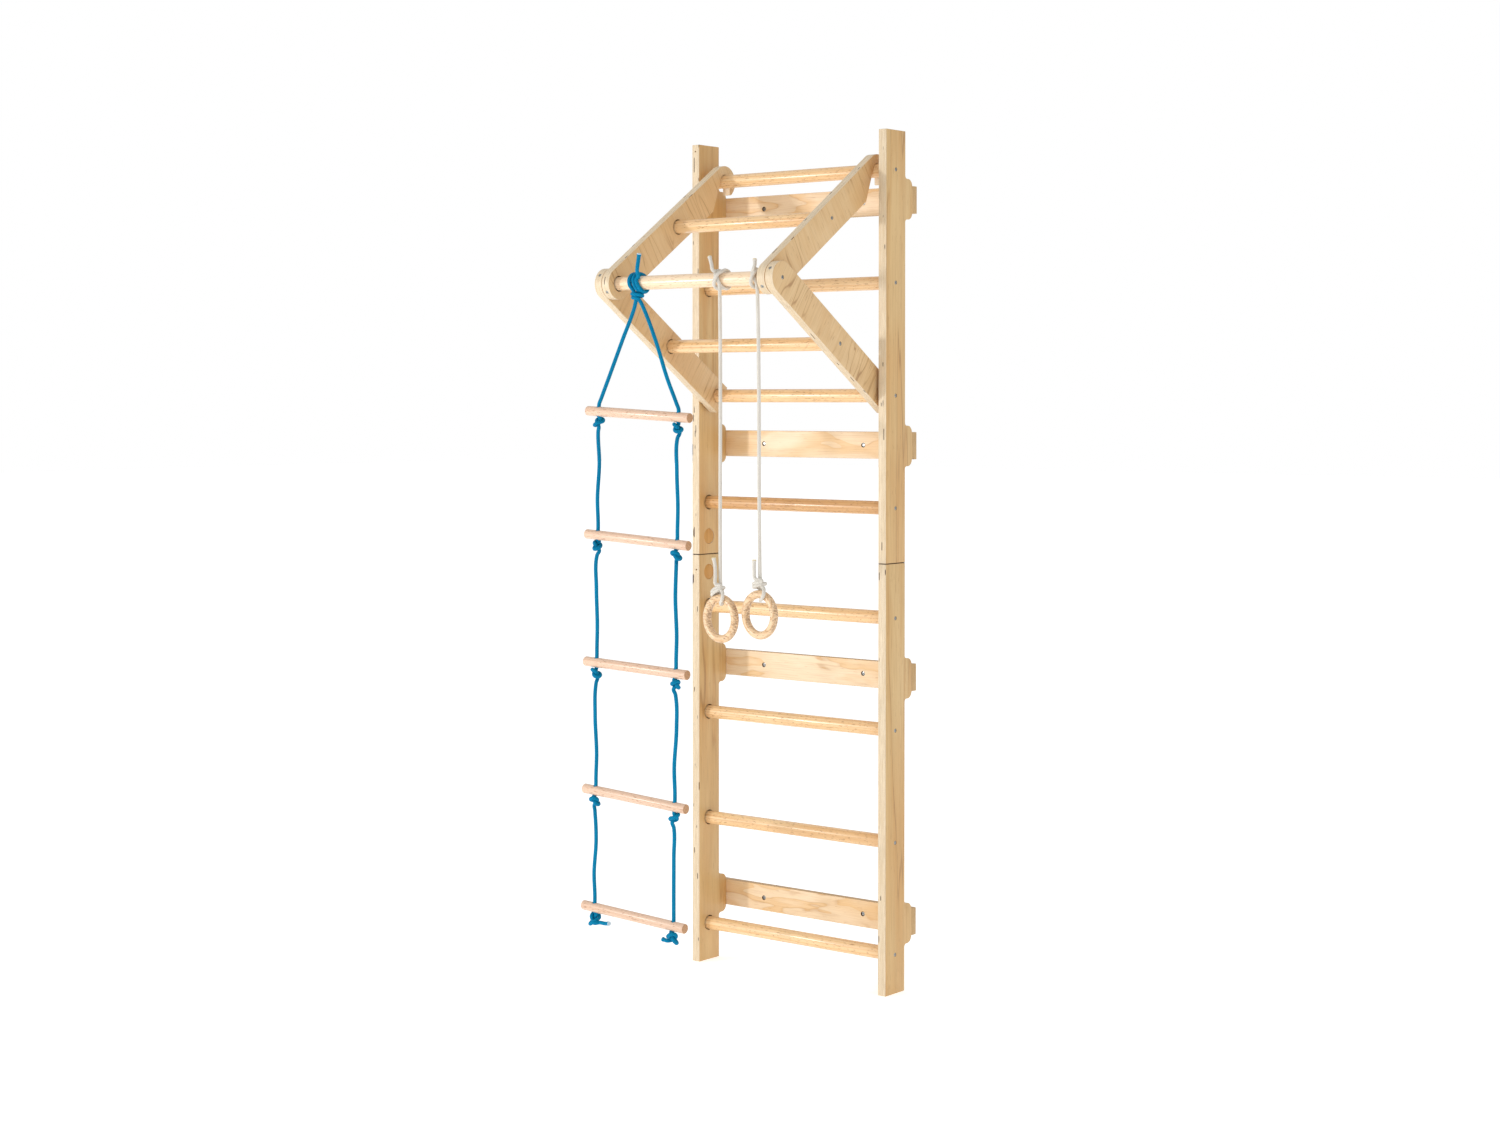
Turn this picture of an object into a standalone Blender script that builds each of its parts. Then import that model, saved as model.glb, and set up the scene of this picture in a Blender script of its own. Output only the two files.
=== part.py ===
"""Wall bars with a hang-on pull-up frame, a rope ladder and two gymnastic rings.

All lengths are in metres.  +Z is up, +X is to the right of someone who faces the bars,
and +Y points into the wall.  The origin is the middle of the lowest wall board's rear
face, where the bars are screwed to the wall.
"""
from math import acos, atan2, cos, hypot, pi, radians, sin, sqrt

import bmesh
import bpy
from mathutils import Matrix, Vector

# ---------------------------------------------------------------- driving dimensions
GAP = 0.0003                    # left between two pieces that touch
OVERCUT = 0.004                 # how far a cutter runs past the face it opens
ROUND = 24                      # sides of a rung or a bar
SMALL_ROUND = 10                # sides of a screw or a knot

RAIL_HEIGHT = 2.200             # both sections of a rail together
WIDTH = 0.640                   # over the two rails
PLY = 0.024                     # plywood of the rails and the arms
RAIL_DEPTH = 0.084
RUNG_RADIUS = 0.0175
RUNG_FROM_END = 0.100           # first rung, from a rail's top or bottom
RUNG_FROM_SEAM = 0.140          # last rung, from the seam
RUNGS_PER_SECTION = 4
SOCKET_DEPTH = 0.014            # blind sockets for rungs and bar in the plywood

EAR_REACH = 0.031               # ears behind the rails
EAR_HEIGHT = 0.104
EAR_CORNER = 0.018
EAR_FILLET = 0.008
BOARD_HEIGHT = 0.070
BOARD_THICKNESS = 0.020
BOARDS_FROM_END = (0.172, 0.802)
WALL_HOLE_RADIUS = 0.0032
WALL_HOLE_OFFSET = 0.165

POCKET_RADIUS = 0.021           # pockets of the bolt that joins two rail sections
POCKET_DEPTH = 0.017
POCKET_FROM_SEAM = 0.048
CAP_THICKNESS = 0.003
CAP_SINK = 0.0010
BOLT_RADIUS = 0.0030
BOLT_HEAD_RADIUS = 0.0057
BOLT_HEAD_HEIGHT = 0.0040
BOLT_FROM_FACE = 0.0105
NUT_HEIGHT = 0.0050

SCREW_RADIUS = 0.0021
SCREW_HEAD_RADIUS = 0.0045
SCREW_HEAD_HEIGHT = 0.0034
SCREW_RECESS_RADIUS = 0.0019
SCREW_RECESS_DEPTH = 0.0018
SCREW_LENGTH = 0.040
SCREW_SINK = 0.0004

BAR_REACH = 0.426               # pull-up bar, in front of the wall rungs' plane
BAR_BELOW_TOP_RUNG = 0.289
ARM_RADIUS = 0.040              # half an arm's width and the radius of its round end
RAIL_TO_ARM = 0.008             # between a rail and the lower arm beside it
ARM_TO_ARM = 0.0005
HOOK_RADIUS = 0.042             # outside of the hook over the top rung
HOOK_TIP_RADIUS = 0.004
HOOK_LEAN = radians(20)         # lean of the slot's front side
RUNG_CLEARANCE = 0.0012         # hooks and forks, round the wall rungs
BAR_CLEARANCE = 0.0005          # lower arms, round the bar
FORK_REACH = 0.021              # fork, past the middle of its rung
CROSS_RUNG_FROM_BAR = 0.280
LOCK_SCREW_SINK = 0.0008
LOCK_SCREW_LENGTH = 0.031
LOCK_SCREW_SHORT = 0.021        # in the lower arms, clear of the bar

BLUE_ROPE_RADIUS = 0.0050
WHITE_ROPE_RADIUS = 0.0045
KNOT_SWELL = 2.3                # a knot's radius over its rope's
LADDER_X = -0.171               # hitch of the rope ladder on the bar
LADDER_COLLAR = (-0.004, -0.008)          # x and y of its collar, from the hitch
LADDER_TOP_X = -0.176           # middle of the ladder's first rung
LADDER_DRIFT = -0.0133          # sideways drift of its rungs for each metre down
LADDER_RUNG_RADIUS = 0.0125
LADDER_RUNG_LENGTH = 0.345
LADDER_HOLE_RADIUS = 0.0062
LADDER_HOLE_OFFSET = 0.134
LADDER_DROPS = (0.332, 0.650, 0.976, 1.309, 1.611)
LADDER_TILTS = (2.9, 3.1, 2.1, 3.1, 2.7)        # degrees, left end higher
LADDER_LOOSE_ENDS = {"left": ((0.010, -0.019), (0.036, -0.018), (0.064, -0.005)),
                     "right": ((-0.007, -0.019), (-0.026, -0.019), (-0.043, -0.011))}

RING_RADIUS = 0.050             # to the middle of the ring's tube
RING_TUBE_RADIUS = 0.010
RING_YAW = radians(8)
RING_X = {"left": 0.114, "right": 0.236}
RING_HITCH_X = {"left": 0.101, "right": 0.217}
RING_ROPE_X = {"left": 0.111, "right": 0.2315}
RING_DROP = {"left": 0.832, "right": 0.816}     # ring's middle below the bar
LOOP_CLEARANCE = 0.001
RING_KNOT_RISE = {"left": 0.0095, "right": 0.0140}      # knot's middle above its loop
RING_KNOT_HALF_HEIGHT = 0.0098
HITCH_LOOSE_ENDS = {"left": (-0.025, 0.060), "right": (0.001, 0.048)}
KNOT_LOOSE_ENDS = {"left": (-0.015, 0.080), "right": (-0.012, 0.060)}

# ---------------------------------------------------------------- derived places
SECTION = RAIL_HEIGHT / 2
RAIL_BOTTOM = -BOARDS_FROM_END[0]
SEAM = RAIL_BOTTOM + SECTION
RAIL_INNER = WIDTH / 2 - PLY
RUNG_Y = -(BOARD_THICKNESS + EAR_REACH + RAIL_DEPTH / 2)
RUNG_PITCH = (SECTION - RUNG_FROM_END - RUNG_FROM_SEAM) / (RUNGS_PER_SECTION - 1)
TOP_RUNG_Z = RAIL_BOTTOM + RAIL_HEIGHT - RUNG_FROM_END
FORK_RUNG_Z = TOP_RUNG_Z - 2 * RUNG_PITCH
BAR_Y = RUNG_Y - BAR_REACH
BAR_Z = TOP_RUNG_Z - BAR_BELOW_TOP_RUNG
LOWER_ARM_OUTER = RAIL_INNER - RAIL_TO_ARM
LOWER_ARM_INNER = LOWER_ARM_OUTER - PLY
UPPER_ARM_OUTER = LOWER_ARM_INNER - ARM_TO_ARM
UPPER_ARM_INNER = UPPER_ARM_OUTER - PLY
SLOT_RADIUS = RUNG_RADIUS + RUNG_CLEARANCE
RING_Y = BAR_Y - RUNG_RADIUS - 3 * GAP - WHITE_ROPE_RADIUS      # hangs off the bar's front
SIDES = {"left": -1, "right": 1}


# ---------------------------------------------------------------- materials and scene
def material(name, colour, roughness, metallic=0.0):
    made = bpy.data.materials.new(name)
    made.use_nodes = True
    shader = made.node_tree.nodes["Principled BSDF"]
    shader.inputs["Base Color"].default_value = (*colour, 1)
    shader.inputs["Roughness"].default_value = roughness
    shader.inputs["Metallic"].default_value = metallic
    return made


def clear_scene():
    for old in list(bpy.data.objects):
        bpy.data.objects.remove(old, do_unlink=True)


def pivot(name, place, parent=None):
    """An empty on a joint's axis, which the joint's pieces hang from."""
    empty = bpy.data.objects.new(name, None)
    bpy.context.collection.objects.link(empty)
    empty.location = Vector(place)
    if parent:
        empty.parent = parent
        empty.location -= world_place(parent)
    return empty


def world_place(empty):
    place = Vector(empty.location)
    while empty.parent:
        empty = empty.parent
        place += empty.location
    return place


def piece(name, mesh, finish, place=(0, 0, 0), turn=None, parent=None):
    """Put a mesh into the scene at a world place, hung from its joint's pivot."""
    made = bpy.data.objects.new(name, mesh)
    bpy.context.collection.objects.link(made)
    if not mesh.materials:
        mesh.materials.append(finish)
    made.location = Vector(place)
    if turn is not None:
        made.rotation_euler = turn.to_euler()
    if parent:
        made.parent = parent
        made.location -= world_place(parent)
    return made


def aim(direction):
    """The turn that points +Z along a direction."""
    return Vector(direction).to_track_quat("Z", "Y").to_matrix()


# ---------------------------------------------------------------- solids
def finished(bm, smooth=True):
    bmesh.ops.recalc_face_normals(bm, faces=bm.faces)
    mesh = bpy.data.meshes.new("mesh")
    bm.to_mesh(mesh)
    bm.free()
    if smooth:
        mesh.shade_smooth()
        mesh.set_sharp_from_angle(angle=radians(35))
    return mesh


def turned(profile, sides, ring=False):
    """Turn a profile of (radius, height) points round Z.

    The ends are closed by discs, or by the profile's own last side when ring is set.
    """
    bm = bmesh.new()
    loops = []
    for radius, height in profile:
        corners = []
        for i in range(sides):
            angle = 2 * pi * i / sides
            corners.append(bm.verts.new((radius * cos(angle), radius * sin(angle), height)))
        loops.append(corners)
    pairs = list(zip(loops, loops[1:]))
    if ring:
        pairs.append((loops[-1], loops[0]))
    for low, high in pairs:
        for i in range(sides):
            j = (i + 1) % sides
            bm.faces.new((low[i], low[j], high[j], high[i]))
    if not ring:
        bm.faces.new(loops[0])
        bm.faces.new(loops[-1])
    return bm


def plate(outline, low_x, high_x):
    """A plate whose outline of (y, z) points is pushed out from low_x to high_x."""
    bm = bmesh.new()
    near = [bm.verts.new((low_x, y, z)) for y, z in outline]
    far = [bm.verts.new((high_x, y, z)) for y, z in outline]
    count = len(outline)
    for i in range(count):
        j = (i + 1) % count
        bm.faces.new((near[i], near[j], far[j], far[i]))
    bm.faces.new(near)
    bm.faces.new(far)
    return bm


def arc(centre, radius, start, end, steps):
    """Points of an arc from one angle to another, in radians, both ends included."""
    points = []
    for i in range(steps + 1):
        angle = start + (end - start) * i / steps
        points.append((centre[0] + radius * cos(angle), centre[1] + radius * sin(angle)))
    return points


def booled(mesh, other, operation):
    """Cut a mesh by another one, or join them, and give back the new mesh."""
    body = bpy.data.objects.new("body", mesh)
    tool = bpy.data.objects.new("tool", other)
    for each in (body, tool):
        bpy.context.collection.objects.link(each)
    modifier = body.modifiers.new("cut", "BOOLEAN")
    modifier.operation = operation
    modifier.solver = "EXACT"
    modifier.object = tool
    graph = bpy.context.evaluated_depsgraph_get()
    result = bpy.data.meshes.new_from_object(body.evaluated_get(graph))
    for each in (body, tool):
        bpy.data.objects.remove(each, do_unlink=True)
    result.shade_smooth()
    result.set_sharp_from_angle(angle=radians(35))
    return result


def carved(mesh, cutters):
    """Cut a mesh by several cutters that stay clear of each other."""
    joined = bmesh.new()
    for cutter in cutters:
        joined.from_mesh(finished(cutter, smooth=False))
    return booled(mesh, finished(joined, smooth=False), "DIFFERENCE")


def united(parts):
    """Join overlapping solids into one."""
    result = finished(parts[0])
    for part in parts[1:]:
        result = booled(result, finished(part), "UNION")
    return result


def turned_to(bm, place, direction):
    """Move a solid that was turned round Z to a place and a direction."""
    bm.transform(Matrix.Translation(Vector(place)) @ aim(direction).to_4x4())
    return bm


# ---------------------------------------------------------------- turned pieces
def rod(half_length, radius, pilot_depth=0.0, chamfer=0.0006):
    """A round bar along Z, with a pilot hole for a screw in each end."""
    pilot = SCREW_RADIUS + GAP
    side = [(radius - chamfer, half_length), (radius, half_length - chamfer)]
    side += [(r, -z) for r, z in reversed(side)]
    if pilot_depth:
        side = [(pilot, half_length - pilot_depth), (pilot, half_length)] + side
        side += [(pilot, -half_length), (pilot, pilot_depth - half_length)]
    return turned(side, ROUND)


def screw(length):
    """A countersunk screw along -Z, with the top of its head at the origin."""
    return turned([(SCREW_RECESS_RADIUS, -SCREW_RECESS_DEPTH), (SCREW_RECESS_RADIUS, 0),
                   (SCREW_HEAD_RADIUS, 0), (SCREW_HEAD_RADIUS, -0.0006),
                   (SCREW_RADIUS, -SCREW_HEAD_HEIGHT), (SCREW_RADIUS, 0.002 - length),
                   (0.0005, -length)], SMALL_ROUND)


def screw_hole(length):
    """Cutter for a countersunk screw along -Z, with its head at the origin."""
    hole = SCREW_RADIUS + GAP
    head = SCREW_HEAD_RADIUS + GAP
    return turned([(head, OVERCUT), (head, -0.0009),
                   (hole, -SCREW_HEAD_HEIGHT - GAP), (hole, -length - GAP)],
                  SMALL_ROUND)


def bored_plate(outline, side, bores, through):
    """A plywood plate from x = 0 outward, with bores of (radius, depth, y, z) in its face.

    Each blind bore takes a screw from the plate's other face.
    """
    outward = (side, 0, 0)
    cutters = []
    screws = []
    for radius, depth, y, z in bores:
        bore = turned([(radius, -OVERCUT), (radius, depth)], ROUND)
        cutters.append(turned_to(bore, (0, y, z), outward))
        if depth == SOCKET_DEPTH:
            head = side * (PLY - SCREW_SINK)
            screws.append(turned_to(screw_hole(SCREW_LENGTH), (head, y, z), outward))
    body = carved(finished(plate(outline, 0, side * PLY)), cutters)
    return carved(body, screws + through)


# ---------------------------------------------------------------- wall ladder
def rail_outline():
    """A rail section from its outer end (z = 0) to the seam, about the rungs' plane."""
    rear = RAIL_DEPTH / 2
    outline = [(-rear, 0), (rear, 0)]
    for middle in BOARDS_FROM_END:
        low = middle - EAR_HEIGHT / 2
        high = middle + EAR_HEIGHT / 2
        fillet = rear + EAR_FILLET
        corner = rear + EAR_REACH - EAR_CORNER - GAP
        outline += arc((fillet, low - EAR_FILLET), EAR_FILLET, pi, pi / 2, 3)
        outline += arc((corner, low + EAR_CORNER), EAR_CORNER, -pi / 2, 0, 4)
        outline += arc((corner, high - EAR_CORNER), EAR_CORNER, 0, pi / 2, 4)
        outline += arc((fillet, high + EAR_FILLET), EAR_FILLET, -pi / 2, -pi, 3)
    seam_end = SECTION - GAP / 2
    return outline + [(rear, seam_end), (-rear, seam_end)]


def rung_heights():
    """Heights of a section's rungs above its outer end."""
    return [RUNG_FROM_END + i * RUNG_PITCH for i in range(RUNGS_PER_SECTION)]


def rail_section(side, up):
    """One section: up is 1 for the lower one and -1 for its mirror image above."""
    outline = [(y, up * z) for y, z in rail_outline()]
    bores = [(RUNG_RADIUS + GAP, SOCKET_DEPTH, 0, up * height) for height in rung_heights()]
    pocket_z = up * (SECTION - POCKET_FROM_SEAM)
    bores.append((POCKET_RADIUS, POCKET_DEPTH, 0, pocket_z))
    hole = BOLT_RADIUS + GAP
    bolt_hole = turned([(hole, 0), (hole, POCKET_FROM_SEAM + OVERCUT)], SMALL_ROUND)
    turned_to(bolt_hole, (side * BOLT_FROM_FACE, 0, pocket_z), (0, 0, up))
    return bored_plate(outline, side, bores, [bolt_hole])


def build_rails(plywood):
    for name, side in SIDES.items():
        lower = rail_section(side, 1)
        upper = rail_section(side, -1)
        x = side * RAIL_INNER
        piece(f"rail_lower_{name}", lower, plywood, (x, RUNG_Y, RAIL_BOTTOM))
        piece(f"rail_upper_{name}", upper, plywood, (x, RUNG_Y, RAIL_BOTTOM + RAIL_HEIGHT))


def build_wall_rungs(beech):
    half = RAIL_INNER + SOCKET_DEPTH - GAP
    mesh = finished(rod(half, RUNG_RADIUS))
    lower = [RAIL_BOTTOM + height for height in rung_heights()]
    upper = [RAIL_BOTTOM + RAIL_HEIGHT - height for height in reversed(rung_heights())]
    for i, z in enumerate(lower + upper, start=1):
        piece(f"wall_rung_{i}", mesh, beech, (0, RUNG_Y, z), aim((1, 0, 0)))


def build_wall_boards(pine):
    half_width = WIDTH / 2
    half_height = BOARD_HEIGHT / 2
    outline = [(-BOARD_THICKNESS, -half_height), (0, -half_height),
               (0, half_height), (-BOARD_THICKNESS, half_height)]
    body = finished(plate(outline, -half_width, half_width))
    hole = [(WALL_HOLE_RADIUS, -BOARD_THICKNESS - OVERCUT), (WALL_HOLE_RADIUS, OVERCUT)]
    cutters = [turned_to(turned(hole, SMALL_ROUND), (x, 0, 0), (0, 1, 0))
               for x in (-WALL_HOLE_OFFSET, WALL_HOLE_OFFSET)]
    mesh = carved(body, cutters)
    from_ends = BOARDS_FROM_END + tuple(RAIL_HEIGHT - z for z in reversed(BOARDS_FROM_END))
    for i, height in enumerate(from_ends, start=1):
        piece(f"wall_board_{i}", mesh, pine, (0, 0, RAIL_BOTTOM + height))


def build_seam_joints(cap_finish, steel):
    """The bolt, nut and pocket caps that hold the two sections of each rail together."""
    cap = finished(turned([(POCKET_RADIUS - GAP, 0), (POCKET_RADIUS - GAP, CAP_THICKNESS)], ROUND))
    wall_curve = POCKET_RADIUS - sqrt(POCKET_RADIUS ** 2 - BOLT_HEAD_RADIUS ** 2)
    seat = POCKET_FROM_SEAM - POCKET_RADIUS + wall_curve + GAP
    bolt_end = seat + NUT_HEIGHT + 0.003
    shank = turned([(BOLT_RADIUS, -bolt_end), (BOLT_RADIUS, seat + 0.001)], SMALL_ROUND)
    head = turned([(BOLT_HEAD_RADIUS, seat), (BOLT_HEAD_RADIUS, seat + BOLT_HEAD_HEIGHT)], 6)
    bolt = united([head, shank])
    nut = turned([(BOLT_HEAD_RADIUS, -seat - NUT_HEIGHT), (BOLT_HEAD_RADIUS, -seat)], 6)
    bore = turned([(BOLT_RADIUS + GAP, -bolt_end), (BOLT_RADIUS + GAP, 0)], SMALL_ROUND)
    nut = carved(finished(nut), [bore])
    for name, side in SIDES.items():
        face = side * (RAIL_INNER + CAP_SINK)
        for place, up in (("lower", -1), ("upper", 1)):
            piece(f"joint_cap_{place}_{name}", cap, cap_finish,
                  (face, RUNG_Y, SEAM + up * POCKET_FROM_SEAM), aim((side, 0, 0)))
        axis = (side * (RAIL_INNER + BOLT_FROM_FACE), RUNG_Y, SEAM)
        piece(f"joint_bolt_{name}", bolt, steel, axis)
        piece(f"joint_nut_{name}", nut, steel, axis)


# ---------------------------------------------------------------- pull-up frame
def upper_arm_angle():
    return atan2(BAR_BELOW_TOP_RUNG, BAR_REACH)


def lower_arm_angle():
    return atan2(FORK_RUNG_Z - BAR_Z, BAR_REACH)


def along(angle, distance, across=0.0):
    """A (y, z) offset: a distance along an arm, and one across it to the upper side."""
    return (distance * cos(angle) - across * sin(angle),
            distance * sin(angle) + across * cos(angle))


def upper_arm_outline():
    """Round end about the bar, hook about the top rung, which is the origin."""
    angle = upper_arm_angle()
    length = hypot(BAR_REACH, BAR_BELOW_TOP_RUNG)
    bar = along(angle, -length)
    edge = acos((HOOK_RADIUS - ARM_RADIUS) / length) + angle

    # the slot's front side leaves the clearance round the rung and meets the lower edge
    touch = (-SLOT_RADIUS * cos(HOOK_LEAN), SLOT_RADIUS * sin(HOOK_LEAN))
    below = (sin(angle), -cos(angle))
    down = (-sin(HOOK_LEAN), -cos(HOOK_LEAN))
    gap = ARM_RADIUS - (touch[0] * below[0] + touch[1] * below[1])
    run = gap / (down[0] * below[0] + down[1] * below[1])
    corner = (touch[0] + run * down[0], touch[1] + run * down[1])

    tip_y = SLOT_RADIUS + HOOK_TIP_RADIUS
    tip = (tip_y, -sqrt((HOOK_RADIUS - HOOK_TIP_RADIUS) ** 2 - tip_y ** 2))
    tip_angle = atan2(tip[1], tip[0])

    outline = arc(bar, ARM_RADIUS, edge, angle + 1.5 * pi, 12)
    outline.append(corner)
    outline += arc((0, 0), SLOT_RADIUS, pi - HOOK_LEAN, 0, 14)
    outline += arc(tip, HOOK_TIP_RADIUS, pi, 2 * pi + tip_angle, 6)
    outline += arc((0, 0), HOOK_RADIUS, tip_angle, edge, 16)
    return outline


def lower_arm_outline():
    """Round end about the bar, which is the origin, and a fork along the arm's axis."""
    angle = lower_arm_angle()
    length = hypot(BAR_REACH, FORK_RUNG_Z - BAR_Z)
    rung = along(angle, length)
    end = length + FORK_REACH
    outline = arc((0, 0), ARM_RADIUS, angle + pi / 2, angle + 1.5 * pi, 16)
    outline += [along(angle, end, -ARM_RADIUS), along(angle, end, -SLOT_RADIUS)]
    outline += arc(rung, SLOT_RADIUS, angle - pi / 2, angle - 1.5 * pi, 14)
    outline += [along(angle, end, SLOT_RADIUS), along(angle, end, ARM_RADIUS)]
    return outline


def lock_screw_place(x, centre, angle):
    """Where a lock screw's head lies on the round end, and the way out of its hole."""
    y, z = along(angle, -ARM_RADIUS + LOCK_SCREW_SINK)
    out_y, out_z = along(angle, -1)
    return (x, centre[0] + y, centre[1] + z), (0, out_y, out_z)


def upper_arm(side):
    angle = upper_arm_angle()
    length = hypot(BAR_REACH, BAR_BELOW_TOP_RUNG)
    bar = along(angle, -length)
    rung = along(angle, CROSS_RUNG_FROM_BAR - length)
    bores = [(RUNG_RADIUS + GAP, PLY + OVERCUT, *bar), (RUNG_RADIUS + GAP, SOCKET_DEPTH, *rung)]
    place, way_out = lock_screw_place(side * PLY / 2, bar, angle)
    lock_hole = turned_to(screw_hole(LOCK_SCREW_LENGTH), place, way_out)
    return bored_plate(upper_arm_outline(), side, bores, [lock_hole])


def lower_arm(side):
    angle = lower_arm_angle()
    rung = along(angle, CROSS_RUNG_FROM_BAR)
    bores = [(RUNG_RADIUS + BAR_CLEARANCE, SOCKET_DEPTH, 0, 0),
             (RUNG_RADIUS + GAP, SOCKET_DEPTH, *rung)]
    place, way_out = lock_screw_place(side * PLY / 2, (0, 0), angle)
    lock_hole = turned_to(screw_hole(LOCK_SCREW_SHORT + 0.0012), place, way_out)
    return bored_plate(lower_arm_outline(), side, bores, [lock_hole])


def pull_up_bar():
    """The bar, with the holes that the upper arms' lock screws enter."""
    half = LOWER_ARM_INNER + SOCKET_DEPTH - GAP
    pilot = SCREW_LENGTH - PLY + SOCKET_DEPTH + 0.002
    body = finished(rod(half, RUNG_RADIUS, pilot))
    _, way_out = lock_screw_place(0, (0, 0), upper_arm_angle())
    hole = SCREW_RADIUS + GAP
    depth = LOCK_SCREW_LENGTH + GAP - (ARM_RADIUS - LOCK_SCREW_SINK)
    cutters = []
    for side in SIDES.values():
        x = side * (UPPER_ARM_INNER + PLY / 2)
        cutter = turned([(hole, -depth), (hole, RUNG_RADIUS + OVERCUT)], SMALL_ROUND)
        cutters.append(turned_to(cutter, (x, 0, 0), way_out))
    lying = bmesh.new()
    lying.from_mesh(body)
    lying.transform(aim((1, 0, 0)).to_4x4())
    return carved(finished(lying), cutters)


def build_frame(beech, plywood, steel, hook_pivot, bar_pivot):
    upper = upper_arm_angle()
    lower = lower_arm_angle()
    long_screw = finished(screw(SCREW_LENGTH))
    lock_screw = finished(screw(LOCK_SCREW_LENGTH))
    short_screw = finished(screw(LOCK_SCREW_SHORT))
    pilot = SCREW_LENGTH - PLY + SOCKET_DEPTH + 0.002

    piece("pull_up_bar", pull_up_bar(), beech, (0, BAR_Y, BAR_Z), parent=hook_pivot)
    rows = (("upper", upper, UPPER_ARM_INNER, hook_pivot), ("lower", lower, LOWER_ARM_INNER, bar_pivot))
    for row, angle, inner, parent in rows:
        y, z = along(angle, CROSS_RUNG_FROM_BAR)
        place = (0, BAR_Y + y, BAR_Z + z)
        mesh = finished(rod(inner + SOCKET_DEPTH - GAP, RUNG_RADIUS, pilot))
        piece(f"{row}_cross_rung", mesh, beech, place, aim((1, 0, 0)), parent)
        for name, side in SIDES.items():
            head = (side * (inner + PLY - SCREW_SINK), place[1], place[2])
            piece(f"cross_rung_screw_{row}_{name}", long_screw, steel, head,
                  aim((side, 0, 0)), parent)
            middle = side * (inner + PLY / 2)
            place_out, way_out = lock_screw_place(middle, (BAR_Y, BAR_Z), angle)
            piece(f"lock_screw_{row}_{name}", lock_screw if row == "upper" else short_screw,
                  steel, place_out, aim(way_out), parent)

    for name, side in SIDES.items():
        piece(f"upper_arm_{name}", upper_arm(side), plywood,
              (side * UPPER_ARM_INNER, RUNG_Y, TOP_RUNG_Z), parent=hook_pivot)
        piece(f"lower_arm_{name}", lower_arm(side), plywood,
              (side * LOWER_ARM_INNER, BAR_Y, BAR_Z), parent=bar_pivot)
        piece(f"bar_end_screw_{name}", long_screw, steel,
              (side * (LOWER_ARM_OUTER - SCREW_SINK), BAR_Y, BAR_Z), aim((side, 0, 0)), hook_pivot)


# ---------------------------------------------------------------- ropes
def smooth_route(points, step):
    """Points about a step apart on a smooth curve through the route's own points."""
    ways = [(after - before).normalized() for before, after in zip(points, points[1:])]
    slopes = [ways[0]]
    slopes += [(before + after).normalized() for before, after in zip(ways, ways[1:])]
    slopes.append(ways[-1])
    route = [points[0]]
    for start, end, leave, arrive in zip(points, points[1:], slopes, slopes[1:]):
        length = (end - start).length
        count = max(1, round(length / step))
        for i in range(1, count + 1):
            t = i / count
            route.append(start * (1 + 2 * t) * (1 - t) ** 2 + end * t ** 2 * (3 - 2 * t)
                         + leave * length * t * (1 - t) ** 2 - arrive * length * t ** 2 * (1 - t))
    return route


def rope(name, route, radius, finish, parent, knots=()):
    """A round rope along a route, swollen where it is knotted."""
    curve = bpy.data.curves.new(name, "CURVE")
    curve.dimensions = "3D"
    curve.bevel_depth = radius
    curve.bevel_resolution = 2
    curve.use_fill_caps = True
    spline = curve.splines.new("POLY")
    spline.points.add(len(route) - 1)
    home = world_place(parent)
    for point, place in zip(spline.points, route):
        point.co = (*(place - home), 1)
        near = min([(place - knot).length for knot in knots], default=1)
        reach = min(1, near / (KNOT_SWELL * radius))
        point.radius = 1 + (KNOT_SWELL - 1) * sqrt(1 - reach ** 2)
    curve.materials.append(finish)
    made = bpy.data.objects.new(name, curve)
    bpy.context.collection.objects.link(made)
    made.parent = parent


def wrap(inner, outer, half_width, place, direction):
    """The outside shape of rope turns round a bar: a ring with rounded edges."""
    edge = 0.3 * (outer - inner)
    profile = [(inner, -half_width), (outer - edge, -half_width), (outer, edge - half_width),
               (outer, half_width - edge), (outer - edge, half_width), (inner, half_width)]
    return turned_to(turned(profile, 18, ring=True), place, direction)


def lump(radius, half_height, place):
    """The outside shape of a knot."""
    bends = [radians(bend) for bend in (-75, -50, -25, 0, 25, 50, 75)]
    profile = [(radius * cos(bend), half_height * sin(bend)) for bend in bends]
    return turned_to(turned(profile, SMALL_ROUND), place, (0, 0, 1))


def loose_end(radius, start, end):
    """The free end of a rope that stands out of its knot."""
    way = end - start
    profile = [(radius, 0), (radius, way.length - 0.001), (radius - 0.001, way.length)]
    return turned_to(turned(profile, SMALL_ROUND), start, way)


def ladder_rungs():
    """Each ladder rung's middle and its turn."""
    for drop, tilt in zip(LADDER_DROPS, LADDER_TILTS):
        x = LADDER_TOP_X + LADDER_DRIFT * (drop - LADDER_DROPS[0])
        yield Vector((x, BAR_Y, BAR_Z - drop)), Matrix.Rotation(radians(tilt), 3, "Y")


def ladder_rung():
    """A ladder rung along X, with its two rope holes."""
    lying = rod(LADDER_RUNG_LENGTH / 2, LADDER_RUNG_RADIUS, chamfer=0.002)
    body = finished(turned_to(lying, (0, 0, 0), (1, 0, 0)))
    through = LADDER_RUNG_RADIUS + OVERCUT
    cutters = []
    for x in (-LADDER_HOLE_OFFSET, LADDER_HOLE_OFFSET):
        hole = turned([(LADDER_HOLE_RADIUS, -through), (LADDER_HOLE_RADIUS, through)], SMALL_ROUND)
        cutters.append(turned_to(hole, (x, 0, 0), (0, 0, 1)))
    return carved(body, cutters)


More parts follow.
